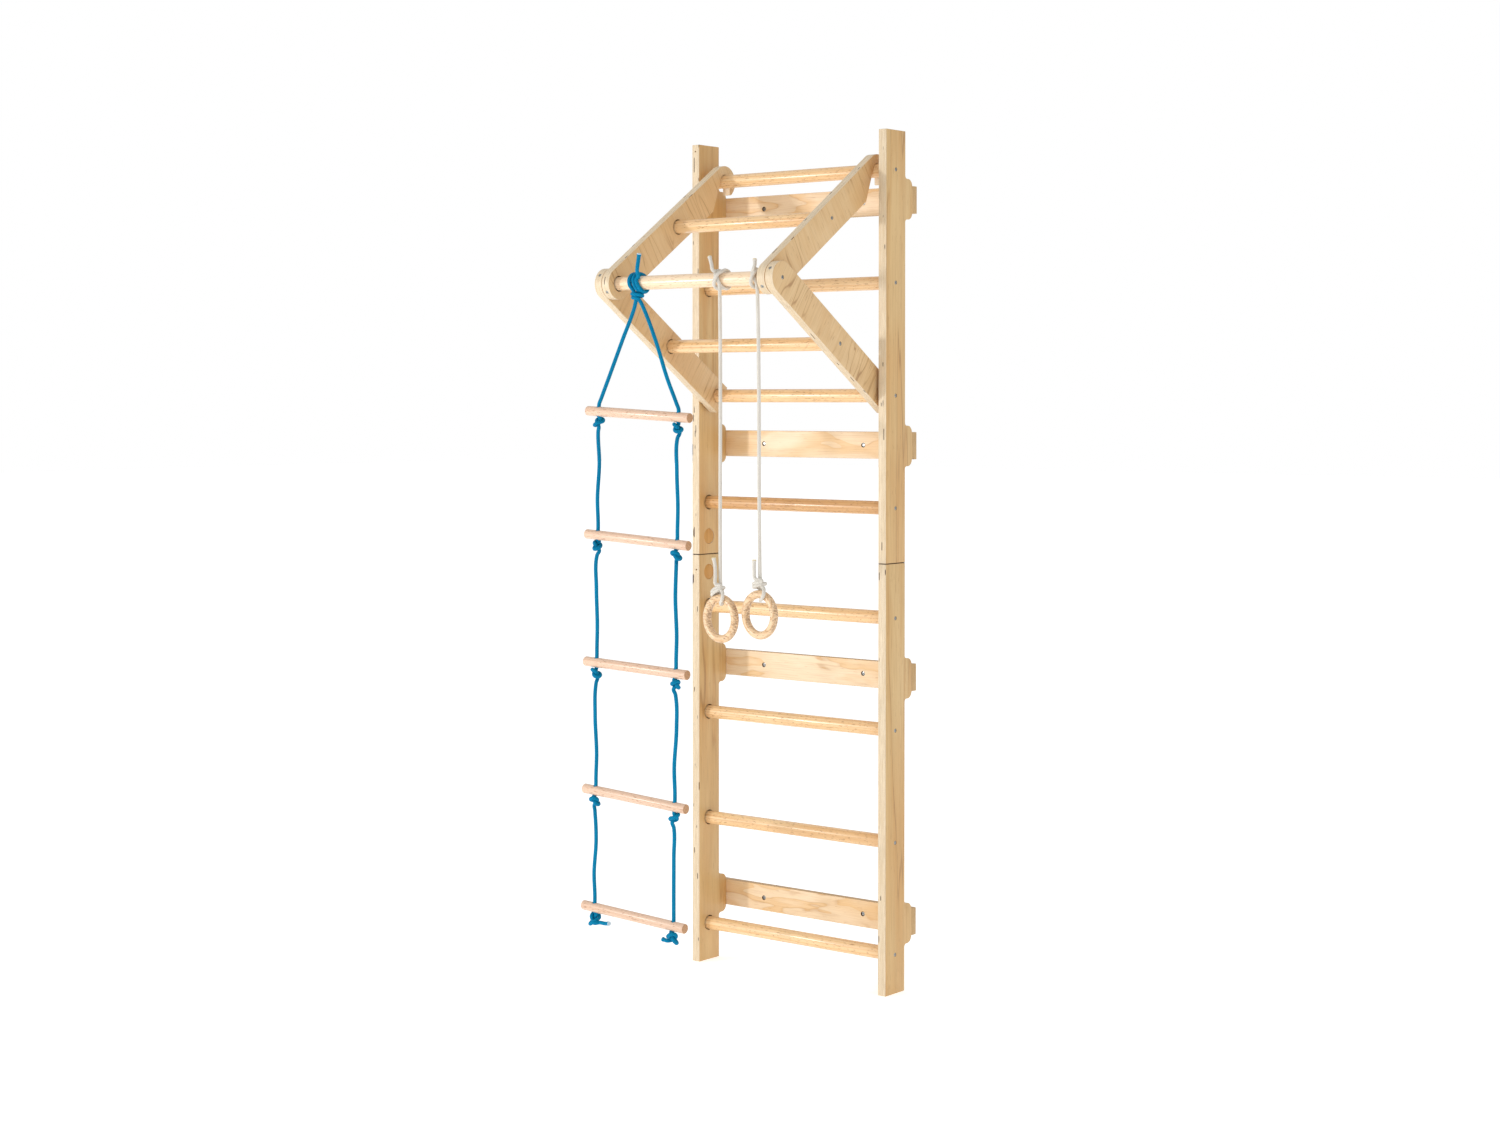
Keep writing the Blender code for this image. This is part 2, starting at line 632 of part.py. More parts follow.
def build_rope_ladder(beech, blue, parent):
    mesh = ladder_rung()
    for i, (middle, turn) in enumerate(ladder_rungs(), start=1):
        piece(f"ladder_rung_{i}", mesh, beech, middle, turn, parent)

    bar = Vector((LADDER_X, BAR_Y, BAR_Z))
    inner = RUNG_RADIUS + 2 * GAP
    outer = inner + 2.1 * BLUE_ROPE_RADIUS
    collar = bar + Vector((*LADDER_COLLAR, -outer - 0.0035))
    hitch = united([wrap(inner, outer, 0.015, bar, (1, 0, 0)),
                    lump(0.015, 0.0115, collar),
                    loose_end(BLUE_ROPE_RADIUS, bar + Vector((0.002, -0.012, 0.0235)),
                              bar + Vector((0.016, -0.016, 0.074)))])
    hitch.transform(Matrix.Translation(-bar))
    piece("ladder_hitch", hitch, blue, bar, parent=parent)

    swell = KNOT_SWELL * BLUE_ROPE_RADIUS
    for name, side in SIDES.items():
        leave = collar + Vector((side * 0.0065, 0, -0.0125))
        route = [leave, leave + Vector((side * 0.0045, 0.0006, -0.012))]
        knots = []
        for middle, turn in ladder_rungs():
            up = turn @ Vector((0, 0, 1))
            hole = middle + turn @ Vector((side * LADDER_HOLE_OFFSET, 0, 0))
            knot = hole - (LADDER_RUNG_RADIUS + swell + GAP) * up
            knots.append(knot)
            route += [hole + 0.021 * up, hole]
            route += [knot + part * swell * up for part in (1.02, 0.75, 0.35, -0.35, -0.75, -1.02)]
        for x, z in LADDER_LOOSE_ENDS[name]:
            route.append(knots[-1] + Vector((x, 0, z)))
        rope(f"ladder_rope_{name}", smooth_route(route, 0.045), BLUE_ROPE_RADIUS, blue,
             parent, knots)


def ring_top(name):
    """The middle of a ring's tube at its top, where its rope's loop passes."""
    return Vector((RING_X[name], RING_Y, BAR_Z - RING_DROP[name] + RING_RADIUS))


def wooden_ring():
    """A ring that faces +Z, with the origin in its tube at its +Y side."""
    profile = arc((RING_RADIUS, 0), RING_TUBE_RADIUS, 0, 2 * pi * 11 / 12, 11)
    return finished(turned_to(turned(profile, 36, ring=True), (0, -RING_RADIUS, 0), (0, 0, 1)))


def build_rings(beech, white, rope_pivots, ring_pivots):
    along_tube = Vector((cos(RING_YAW), -sin(RING_YAW), 0))
    facing = Vector((-sin(RING_YAW), -cos(RING_YAW), 0))
    turn = Matrix((along_tube, (0, 0, 1), facing)).transposed()
    mesh = wooden_ring()
    loop_inner = RING_TUBE_RADIUS + LOOP_CLEARANCE
    inner = RUNG_RADIUS + 2 * GAP
    outer = inner + 2.1 * WHITE_ROPE_RADIUS
    for name in SIDES:
        top = ring_top(name)
        parent = rope_pivots[name]
        piece(f"ring_{name}", mesh, beech, top, turn, ring_pivots[name])

        bar = Vector((RING_HITCH_X[name], BAR_Y, BAR_Z))
        x, z = HITCH_LOOSE_ENDS[name]
        hitch = united([wrap(inner, outer, 0.0105, bar, (1, 0, 0)),
                        loose_end(WHITE_ROPE_RADIUS, bar + Vector((0.2 * x, -0.012, 0.0235)),
                                  bar + Vector((x, -0.014, z)))])
        hitch.transform(Matrix.Translation(-bar))
        piece(f"ring_hitch_{name}", hitch, white, bar, parent=parent)

        rise = loop_inner + RING_KNOT_RISE[name]
        knot = top + Vector((-0.003, 0, rise))
        x, z = KNOT_LOOSE_ENDS[name]
        loop = united([wrap(loop_inner, loop_inner + 2.1 * WHITE_ROPE_RADIUS, 0.0052, top,
                            along_tube),
                       lump(0.0105, RING_KNOT_HALF_HEIGHT, knot),
                       loose_end(WHITE_ROPE_RADIUS, knot + Vector((-0.0055, 0, 0.003)),
                                 knot + Vector((x, 0, z)))])
        loop.transform(Matrix.Translation(-top))
        piece(f"ring_loop_{name}", loop, white, top, parent=parent)

        above = knot + Vector((0.0045, 0, RING_KNOT_HALF_HEIGHT + 0.0012))
        below = Vector((RING_ROPE_X[name], RING_Y, BAR_Z - outer - GAP))
        route = [below, below - Vector((0, 0, 0.03)), above + Vector((0, 0, 0.03)), above]
        rope(f"ring_rope_{name}", smooth_route(route, 0.035), WHITE_ROPE_RADIUS, white, parent)


# ---------------------------------------------------------------- the whole object
def main():
    clear_scene()
    plywood = material("plywood", (0.72, 0.54, 0.33), 0.45)
    beech = material("beech", (0.74, 0.49, 0.26), 0.38)
    pale_beech = material("pale_beech", (0.80, 0.62, 0.42), 0.50)
    pine = material("pine", (0.86, 0.69, 0.44), 0.50)
    cap_wood = material("cap_wood", (0.56, 0.28, 0.08), 0.50)
    steel = material("zinc_steel", (0.62, 0.62, 0.60), 0.32, 1.0)
    blue = material("blue_rope", (0.01, 0.20, 0.46), 0.65)
    white = material("white_rope", (0.82, 0.79, 0.72), 0.70)

    hook = pivot("frame_pivot", (0, RUNG_Y, TOP_RUNG_Z))
    bar = pivot("brace_pivot", (0, BAR_Y, BAR_Z), hook)
    ladder = pivot("ladder_pivot", (LADDER_X, BAR_Y, BAR_Z), hook)
    rope_pivots = {name: pivot(f"ring_rope_pivot_{name}", (RING_HITCH_X[name], BAR_Y, BAR_Z), hook)
                   for name in SIDES}
    ring_pivots = {name: pivot(f"ring_pivot_{name}", ring_top(name), rope_pivots[name])
                   for name in SIDES}

    build_rails(plywood)
    build_wall_rungs(beech)
    build_wall_boards(pine)
    build_seam_joints(cap_wood, steel)
    build_frame(beech, plywood, steel, hook, bar)
    build_rope_ladder(pale_beech, blue, ladder)
    build_rings(pale_beech, white, rope_pivots, ring_pivots)


main()
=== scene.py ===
from math import acos, atan2, cos, hypot, pi, radians, sin, sqrt

import bmesh
import bpy
from mathutils import Matrix, Vector


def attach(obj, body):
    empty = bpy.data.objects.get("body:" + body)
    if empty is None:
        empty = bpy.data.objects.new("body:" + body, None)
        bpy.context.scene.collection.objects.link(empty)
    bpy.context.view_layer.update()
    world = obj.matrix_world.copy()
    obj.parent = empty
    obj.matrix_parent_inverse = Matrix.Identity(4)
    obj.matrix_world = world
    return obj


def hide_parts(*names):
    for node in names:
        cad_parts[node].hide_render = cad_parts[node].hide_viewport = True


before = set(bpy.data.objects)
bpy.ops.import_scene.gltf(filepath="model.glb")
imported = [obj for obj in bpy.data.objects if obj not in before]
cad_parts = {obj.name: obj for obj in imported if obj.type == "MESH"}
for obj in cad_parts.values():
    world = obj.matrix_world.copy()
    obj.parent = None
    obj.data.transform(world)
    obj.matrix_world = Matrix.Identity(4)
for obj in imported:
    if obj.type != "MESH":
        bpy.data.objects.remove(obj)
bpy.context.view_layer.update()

PLY = 0.024
PLY_LAYER = 0.0027
RUNG_RADIUS = 0.0175
RAIL_INNER = 0.296
RAIL_OUTER = 0.32
RAIL_BOTTOM = -0.172
RAIL_HEIGHT = 2.2
SECTION = 1.1
RAIL_DEPTH = 0.084
RUNG_Y = -0.093
TOP_RUNG_Z = 1.928
BAR_Y = -0.519
BAR_Z = 1.639
BAR_REACH = 0.426
BAR_DROP = 0.289
FORK_DROP = 0.286667 * 2
ARM_RADIUS = 0.04
LOWER_ARM_INNER = 0.264
UPPER_ARM_INNER = 0.2395
FIRST_RUNG = 0.1
LAST_RUNG_FROM_SEAM = 0.14
SOCKET_DEPTH = 0.014
SCREW_SUNK = 0.0004
# How far from a rung's axis the painted shade of its socket and countersink reaches.
PAINTED_SHADE_RADIUS = RUNG_RADIUS + 0.0025
BOARDS_FROM_END = (0.172, 0.802)
BOARD_SCREW_X = 0.165
BOARD_HALF_HEIGHT = 0.035
POCKET_FROM_SEAM = 0.048
SEAM_GAP = 0.0002
BLUE_ROPE = 0.01
WHITE_ROPE = 0.009
LADDER_X = -0.171
HITCH_X = {"left": 0.101, "right": 0.217}
RING_X = {"left": 0.114, "right": 0.236}
RING_Y = -0.5419
RING_Z = {"left": 0.807, "right": 0.823}
SIDES = {"left": -1, "right": 1}
GRAIN_ALONG_X = ((0, 1, 0), (0, 0, 1), (1, 0, 0))


# ---- camera, light, floor
def camera():
    data = bpy.data.cameras.new("camera")
    data.lens = 58.17
    data.sensor_width = 36.0
    data.shift_y = -0.0753
    seen = bpy.data.objects.new("camera", data)
    seen.location = (3.886, -5.1273, 1.341)
    seen.rotation_euler = (radians(90 - 1.149), 0, radians(38.751))
    bpy.context.collection.objects.link(seen)
    bpy.context.scene.camera = seen


def area_light(name, place, target, size, power, colour=(1, 1, 1)):
    data = bpy.data.lights.new(name, "AREA")
    data.shape = "DISK"
    data.size = size
    data.energy = power
    data.color = colour
    lamp = bpy.data.objects.new(name, data)
    lamp.location = place
    lamp.rotation_euler = (Vector(target) - Vector(place)).to_track_quat("-Z", "Y").to_euler()
    bpy.context.collection.objects.link(lamp)


def studio():
    world = bpy.data.worlds.new("studio")
    world.use_nodes = True
    nodes = world.node_tree.nodes
    links = world.node_tree.links
    back = nodes["Background"]
    back.inputs["Color"].default_value = (1, 1, 1, 1)
    seen = nodes.new("ShaderNodeLightPath")
    strength = nodes.new("ShaderNodeMix")
    strength.inputs["A"].default_value = 0.72
    strength.inputs["B"].default_value = 1.0
    links.new(seen.outputs["Is Camera Ray"], strength.inputs["Factor"])
    links.new(strength.outputs["Result"], back.inputs["Strength"])
    bpy.context.scene.world = world
    bpy.context.scene.view_settings.view_transform = "Standard"

    area_light("key", (-3.1, -4.3, 1.55), (0, -0.2, 1.2), 0.4, 88, (1.0, 0.985, 0.96))
    area_light("fill", (4.5, -2.5, 2.6), (0, -0.2, 0.9), 3.0, 12)

    mesh = bpy.data.meshes.new("floor")
    reach = 40
    mesh.from_pydata([(-reach, -reach, 0), (reach, -reach, 0), (reach, reach, 0),
                      (-reach, reach, 0)], [], [(0, 1, 2, 3)])
    floor = bpy.data.objects.new("floor", mesh)
    floor.location.z = RAIL_BOTTOM - 0.001
    bpy.context.collection.objects.link(floor)
    pale = bpy.data.materials.new("floor")
    pale.use_nodes = True
    shader = pale.node_tree.nodes["Principled BSDF"]
    shader.inputs["Base Color"].default_value = (0.85, 0.85, 0.85, 1)
    shader.inputs["Roughness"].default_value = 0.9
    shader.inputs["Emission Color"].default_value = (1, 1, 1, 1)
    shader.inputs["Emission Strength"].default_value = 0.52
    mesh.materials.append(pale)


# ---- shading helpers
class Finish:
    """A material whose nodes are chained together by short calls."""

    def __init__(self, name, **constants):
        self.material = bpy.data.materials.new(name)
        self.material.use_nodes = True
        self.nodes = self.material.node_tree.nodes
        self.links = self.material.node_tree.links
        self.shader = self.nodes["Principled BSDF"]
        for socket, value in constants.items():
            self.shader.inputs[socket.replace("_", " ")].default_value = value
        self.place = self.nodes.new("ShaderNodeTexCoord")

    def add(self, kind, sockets, **settings):
        """A new node with its settings, and a link or a value for each of its sockets."""
        node = self.nodes.new("ShaderNode" + kind)
        for setting, value in settings.items():
            setattr(node, setting, value)
        for socket, value in sockets.items():
            if isinstance(value, bpy.types.NodeSocket):
                self.links.new(value, node.inputs[socket])
            else:
                node.inputs[socket].default_value = value
        return node.outputs

    def math(self, operation, *values):
        return self.add("Math", dict(enumerate(values)), operation=operation)[0]

    def times(self, first, second):
        return self.math("MULTIPLY", first, second)

    def parts(self, vector):
        return self.add("SeparateXYZ", {0: vector})

    def joined(self, x, y, z):
        return self.add("CombineXYZ", {0: x, 1: y, 2: z})[0]

    def noise(self, vector, scale, detail=3.0, roughness=0.55, distortion=0.0):
        return self.add("TexNoise", {"Vector": vector, "Scale": scale, "Detail": detail,
                                     "Roughness": roughness, "Distortion": distortion})["Fac"]

    def stretched(self, vector, scale, detail=3.0, roughness=0.55, distortion=0.0,
                  shift=(0, 0, 0)):
        """Noise with a scale of its own along each axis."""
        mapped = self.add("Mapping", {"Vector": vector, "Scale": scale, "Location": shift})
        return self.noise(mapped[0], 1.0, detail, roughness, distortion)

    def stops(self, value, *stops):
        node = self.nodes.new("ShaderNodeValToRGB")
        self.links.new(value, node.inputs[0])
        ramp = node.color_ramp
        while len(ramp.elements) < len(stops):
            ramp.elements.new(0.5)
        for element, (place, colour) in zip(ramp.elements, stops):
            element.position = place
            element.color = colour if len(colour) == 4 else (*colour, 1)
        return node.outputs["Color"]

    def mask(self, value, low, high):
        return self.add("MapRange", {"Value": value, "From Min": low, "From Max": high})["Result"]

    def blend(self, factor, first, second):
        return self.add("Mix", {0: factor, 6: first, 7: second}, data_type="RGBA")[2]

    def layer(self, under, over, factor, strength):
        return self.blend(self.times(factor, strength), under, over)

    def bump(self, height, strength, distance):
        sockets = {"Height": height, "Strength": strength, "Distance": distance}
        self.links.new(self.add("Bump", sockets)[0], self.shader.inputs["Normal"])

    def finish(self, colour, roughness=None):
        self.links.new(colour, self.shader.inputs["Base Color"])
        if roughness is not None:
            self.links.new(roughness, self.shader.inputs["Roughness"])
        return self.material


def srgb(red, green, blue):
    def linear(value):
        value /= 255
        return value / 12.92 if value <= 0.04045 else ((value + 0.055) / 1.055) ** 2.4
    return linear(red), linear(green), linear(blue), 1.0


# ---- wood and other finishes
def grain_of(made):
    """Where a point lies in its wood: through the thickness, across and along the grain."""
    return made.add("Attribute", {}, attribute_name="grain")["Vector"]


def veneer(name, light, middle, dark, warm, bands=8.0, lines=0.5, stretch=0.8, figure=0.35,
           fibres=0.55):
    """A plywood face: soft bands, thin wavy growth lines in patches, fibres and short pores.

    stretch is how fast the bands change along the grain; lines, figure and fibres are how
    strongly the growth lines, the warm late wood and the fibres show.
    """
    made = Finish(name, Coat_Weight=0.2, Coat_Roughness=0.4, Specular_IOR_Level=0.35)
    place = grain_of(made)
    swell = made.stretched(place, (11.0, 11.0, stretch), 3.0, 0.5, 0.3)
    growth = made.times(swell, bands)
    ring = made.times(made.math("PINGPONG", growth, 0.5), 2.0)
    colour = made.blend(ring, middle, light)
    late = made.mask(made.math("FRACT", growth), 0.45, 1.0)
    colour = made.layer(colour, warm, late, figure)
    cloud = made.stretched(place, (7.0, 7.0, 1.6), 2.0, shift=(5, 0, 2))
    colour = made.layer(colour, warm, made.mask(cloud, 0.46, 0.74), 0.75)
    patch = made.stretched(place, (13.0, 13.0, 5.0), 2.0, shift=(1, 4, 0))
    thin = made.times(made.mask(ring, 0.14, 0.03), made.mask(patch, 0.44, 0.6))
    colour = made.layer(colour, dark, thin, lines)
    fibre = made.stretched(place, (480, 480, 9), 3.0, 0.6)
    colour = made.layer(colour, dark, made.mask(fibre, 0.48, 0.85), fibres)
    pore = made.mask(made.stretched(place, (310, 310, 26), 2.0), 0.66, 0.71)
    colour = made.layer(colour, dark, pore, 0.45)
    made.bump(made.math("SUBTRACT", fibre, made.times(pore, 0.8)), 0.15, 0.0005)
    return made.finish(colour, made.stops(fibre, (0.3, (0.38,) * 3), (0.8, (0.55,) * 3)))


def ply_edge(name, pale, dark, line):
    """A plywood edge: long-grain and end-grain plies in turn, glue lines and a few voids."""
    made = Finish(name, Coat_Weight=0.2, Coat_Roughness=0.4, Specular_IOR_Level=0.4)
    place = grain_of(made)
    through, across, length = made.parts(place)
    wander = made.times(made.stretched(place, (30, 9, 9), 2.0), 0.0006)
    ply = made.math("DIVIDE", made.math("ADD", through, wander), PLY_LAYER)
    layer = made.math("FLOOR", ply)
    inside = made.math("FRACT", ply)
    turned_ply = made.math("MODULO", made.math("ABSOLUTE", layer), 2.0)
    own = made.joined(made.times(layer, 7.3), across, length)
    shade = made.stretched(own, (1, 14, 14), 3.0)
    colour = made.blend(made.mask(shade, 0.25, 0.8), pale, dark)
    speck = made.stretched(place, (1400, 1400, 1400), 2.0)
    end_grain = made.times(turned_ply, made.mask(speck, 0.35, 0.75))
    colour = made.layer(colour, dark, end_grain, 0.55)
    seam = made.times(made.math("GREATER_THAN", inside, 0.86),
                     made.mask(made.stretched(own, (1, 40, 40), 2.0), 0.3, 0.6))
    colour = made.layer(colour, line, seam, 0.8)
    void = made.mask(made.stretched(own, (1, 16, 16), 1.0, shift=(3.1, 0, 0)), 0.7, 0.72)
    void = made.times(void, made.math("LESS_THAN", inside, 0.8))
    colour = made.blend(void, colour, srgb(66, 42, 26))
    height = made.math("SUBTRACT", made.times(speck, 0.3),
                       made.math("ADD", made.times(seam, 0.5), void))
    made.bump(height, 0.35, 0.0006)
    return made.finish(colour, made.stops(speck, (0.3, (0.42,) * 3), (0.8, (0.6,) * 3)))


def dowel(name, light, middle, dark, fleck, coat=0.5, streak=1.0, fine=1.0, spots=0.61,
          ends=0.0):
    """Turned beech: growth rings drawn out along the rung, and short dark flecks.

    fine makes the flecks smaller, a higher spots makes them rarer, and ends is how strongly
    dashes of end grain show where a curved piece's surface cuts across the grain.
    """
    made = Finish(name, Coat_Weight=coat, Coat_Roughness=0.22, Specular_IOR_Level=0.45)
    place = grain_of(made)
    through, across, _ = made.parts(place)
    bend = made.stretched(place, (20, 20, 1.3), 2.0)
    away = made.math("ADD", made.times(through, through), made.times(across, across))
    away = made.math("SQRT", away)
    ring = made.math("ADD", made.times(away, 300.0), made.times(bend, 5.0))
    ring = made.math("PINGPONG", ring, 1.0)
    colour = made.stops(ring, (0.0, light), (0.5, light), (1.0, middle))
    cloud = made.stretched(place, (24, 24, 3.4), 3.0)
    colour = made.layer(colour, middle, made.mask(cloud, 0.45, 0.75), 0.8 * streak)
    vein = made.stretched(place, (190, 190, 2.6), 3.0, 0.6)
    colour = made.layer(colour, dark, made.mask(vein, 0.54, 0.78), 0.55 * streak)
    spot = made.stretched(place, (420 * fine, 420 * fine, 75 * fine), 2.0, 0.5)
    spot = made.mask(spot, spots, spots + 0.05)
    colour = made.layer(colour, fleck, spot, 0.65)
    if ends:
        facing = made.math("ABSOLUTE", made.parts(made.place.outputs["Normal"])[0])
        dash = made.stretched(place, (110, 360, 110), 2.0)
        dash = made.times(made.mask(facing, 0.3, 0.9), made.mask(dash, 0.42, 0.6))
        colour = made.layer(colour, fleck, dash, ends)
    made.bump(made.math("SUBTRACT", vein, made.times(spot, 0.5)), 0.12, 0.0005)
    return made.finish(colour, made.stops(vein, (0.3, (0.3,) * 3), (0.8, (0.46,) * 3)))


def braid(name, groove_shade_and_age, bright, fuzz, sheen):
    """A plaited rope: u runs round it and v along it, one unit for each circumference."""
    made = Finish(name, Sheen_Weight=sheen, Sheen_Roughness=0.5, Specular_IOR_Level=0.1)
    u, v, _ = made.parts(made.place.outputs["UV"])
    strands = 8.0
    along_it = made.times(v, strands * 0.62)
    round_it = made.times(u, strands)
    heights, cells = [], []
    for slant in ("ADD", "SUBTRACT"):
        way = made.math(slant, round_it, along_it)
        cells.append(made.math("FLOOR", way))
        half = made.math("SUBTRACT", made.math("FRACT", way), 0.5)
        heights.append(made.times(half, half))
    dip = made.math("ADD", *heights)
    bulge = made.math("SUBTRACT", 1.0, made.times(dip, 2.0))
    parity = made.math("MODULO", made.math("ABSOLUTE", made.math("ADD", *cells)), 2.0)
    yarn_way = made.blend(parity, made.joined(made.math("ADD", round_it, along_it), 0, 0),
                          made.joined(made.math("SUBTRACT", round_it, along_it), 0, 0))
    yarn = made.math("PINGPONG", made.times(made.parts(yarn_way)[0], 5.0), 0.5)
    # Painted shade: the grooves between the strands are darker, their crowns bright.
    colour = made.blend(made.mask(bulge, 0.15, 0.85), groove_shade_and_age, bright)
    hair = made.noise(made.place.outputs["Object"], 900.0, 3.0, 0.6)
    colour = made.layer(colour, fuzz, made.mask(hair, 0.45, 0.8), 0.5)
    age = made.noise(made.place.outputs["Object"], 9.0, 2.0)
    # Darker patches at random, from age, in the dark colour of the painted groove shade.
    colour = made.layer(colour, groove_shade_and_age, made.mask(age, 0.4, 0.8), 0.25)
    height = made.math("ADD", bulge, made.times(yarn, 0.35))
    made.bump(made.math("ADD", height, made.times(hair, 0.3)), 0.9, 0.0009)
    return made.finish(colour, made.stops(hair, (0.3, (0.6,) * 3), (0.8, (0.8,) * 3)))


def rope_core(name, pale, dark):
    """The cut end of a rope, with its bundle of core fibres."""
    made = Finish(name, Roughness=0.85)
    sockets = {"Vector": made.place.outputs["Object"], "Scale": 1100.0}
    away = made.add("TexVoronoi", sockets)["Distance"]
    colour = made.blend(made.mask(away, 0.1, 0.7), pale, dark)
    made.bump(away, 0.6, 0.0005)
    return made.finish(colour)


def recess_shade(name):
    """Painted shade in sockets, countersinks, holes and the rail seam: dark end grain in shadow."""
    made = Finish(name, Roughness=0.9)
    grit = made.stretched(grain_of(made), (900, 900, 900), 2.0)
    made.bump(grit, 0.4, 0.0005)
    return made.finish(made.stops(grit, (0.3, srgb(62, 40, 24)), (0.75, srgb(96, 66, 40))))


def steel_finish(name):
    """Zinc-plated steel, with fine turning marks and dull patches."""
    made = Finish(name, Metallic=1.0)
    place = made.place.outputs["Object"]
    patch = made.noise(place, 260.0, 3.0)
    mark = made.stretched(place, (300, 2400, 2400), 2.0)
    colour = made.stops(patch, (0.3, srgb(134, 136, 136)), (0.7, srgb(186, 186, 182)))
    made.bump(mark, 0.12, 0.0003)
    return made.finish(colour, made.stops(patch, (0.3, (0.24,) * 3), (0.75, (0.42,) * 3)))


def finishes():
    rail = veneer("ply_face", srgb(217, 184, 130), srgb(209, 173, 118), srgb(160, 116, 70),
                  srgb(205, 154, 88), bands=7.0, lines=0.6, stretch=0.5)
    arm = veneer("arm_face", srgb(223, 190, 142), srgb(219, 184, 134), srgb(150, 104, 60),
                 srgb(217, 176, 122), bands=9.0, lines=0.6, stretch=1.6, figure=0.2,
                 fibres=0.35)
    board = veneer("board_face", srgb(248, 225, 193), srgb(241, 216, 180), srgb(196, 148, 96),
                   srgb(232, 190, 130), bands=4.0, lines=0.4, stretch=3.2, figure=0.7)
    cap = veneer("cap_wood", srgb(210, 158, 84), srgb(199, 144, 68), srgb(148, 96, 42),
                 srgb(192, 132, 60))
    edge = ply_edge("ply_edge", srgb(237, 220, 192), srgb(214, 190, 153), srgb(122, 86, 52))
    board_end = ply_edge("board_end", srgb(210, 176, 126), srgb(188, 150, 98), srgb(112, 76, 42))
    wall = dowel("rung_beech", srgb(244, 208, 158), srgb(230, 184, 128), srgb(196, 140, 86),
                 srgb(156, 102, 58))
    streaked = dowel("rung_streaked", srgb(220, 174, 118), srgb(200, 146, 90), srgb(152, 94, 50),
                     srgb(140, 84, 44))
    bar = dowel("bar_beech", srgb(247, 220, 187), srgb(239, 206, 166), srgb(214, 170, 124),
                srgb(172, 122, 76))
    pale = dowel("ladder_beech", srgb(229, 195, 169), srgb(221, 184, 156), srgb(196, 154, 122),
                 srgb(160, 112, 76), coat=0.2, streak=0.7)
    pale_end = dowel("ladder_beech_end", srgb(196, 152, 112), srgb(180, 134, 94),
                     srgb(150, 104, 68), srgb(120, 78, 48), coat=0.1)
    ring = dowel("ring_beech", srgb(238, 206, 166), srgb(217, 175, 128), srgb(170, 120, 74),
                 srgb(112, 68, 36), coat=0.3, streak=1.35, fine=0.95, spots=0.6, ends=0.6)
    return {
        "ply_face": rail, "arm_face": arm, "ply_edge": edge, "board_end": board_end,
        "rung": wall, "bar": bar,
        "rung_streaked": streaked, "ladder_rung": pale, "ladder_end": pale_end, "ring": ring,
        # The painted shade that sockets, countersinks, holes and the seam get.
        "recess_shade": recess_shade("socket_painted_shade"), "cap": cap, "board": board,
        "steel": steel_finish("zinc_steel"),
        "blue": braid("blue_rope", srgb(0, 60, 100), srgb(0, 142, 190), srgb(6, 176, 216), 0.0),
        "white": braid("white_rope", srgb(188, 180, 164), srgb(238, 233, 224),
                       srgb(248, 244, 236), 0.1),
        "blue_core": rope_core("blue_rope_core", srgb(236, 240, 244), srgb(150, 190, 214)),
        "white_core": rope_core("white_rope_core", srgb(244, 232, 196), srgb(206, 184, 132)),
    }


# ---- mesh helpers
def plane_frame(normal):
    """The turn that points +Z along a direction."""
    return Vector(normal).to_track_quat("Z", "Y").to_matrix()


def to_mesh(bm, smooth=True):
    bmesh.ops.recalc_face_normals(bm, faces=bm.faces)
    mesh = bpy.data.meshes.new("mesh")
    bm.to_mesh(mesh)
    bm.free()
    if smooth:
        mesh.shade_smooth()
        mesh.set_sharp_from_angle(angle=radians(40))
    return mesh


def turned(profile, sides, ring=False):
    """Turn a profile of (radius, height) points round Z, closed by discs or into a ring."""
    bm = bmesh.new()
    loops = []
    for radius, height in profile:
        angles = [2 * pi * i / sides for i in range(sides)]
        loops.append([bm.verts.new((radius * cos(a), radius * sin(a), height)) for a in angles])
    pairs = list(zip(loops, loops[1:])) + ([(loops[-1], loops[0])] if ring else [])
    for low, high in pairs:
        for i in range(sides):
            j = (i + 1) % sides
            bm.faces.new((low[i], low[j], high[j], high[i]))
    if not ring:
        bm.faces.new(loops[0])
        bm.faces.new(loops[-1])
    return bm


def spun(mesh, angle):
    """A copy of a mesh, turned about Z."""
    bm = bmesh.new()
    bm.from_mesh(mesh)
    bm.transform(Matrix.Rotation(angle, 4, "Z"))
    return bm


def moved(bm, place, direction=(0, 0, 1)):
    bm.transform(Matrix.Translation(Vector(place)) @ plane_frame(direction).to_4x4())
    return bm


def plate(outline, low_x, high_x):
    """A plate of an outline of (y, z) points from low_x to high_x, with a rounded rim."""
    bm = bmesh.new()
    near = [bm.verts.new((low_x, y, z)) for y, z in outline]
    far = [bm.verts.new((high_x, y, z)) for y, z in outline]
    for i in range(len(outline)):
        j = (i + 1) % len(outline)
        bm.faces.new((near[i], near[j], far[j], far[i]))
    flat = [bm.faces.new(near), bm.faces.new(far)]
    bmesh.ops.recalc_face_normals(bm, faces=bm.faces)
    edges = {edge for face in flat for edge in face.edges}
    edges |= {edge for edge in bm.edges if edge.calc_face_angle(0) > radians(60)}
    bmesh.ops.bevel(bm, geom=list(edges), offset=0.0012, segments=3, profile=0.5,
                    affect="EDGES", clamp_overlap=True)
    return bm


def arc(centre, radius, start, end, steps):
    points = []
    for i in range(steps + 1):
        angle = start + (end - start) * i / steps
        points.append((centre[0] + radius * cos(angle), centre[1] + radius * sin(angle)))
    return points


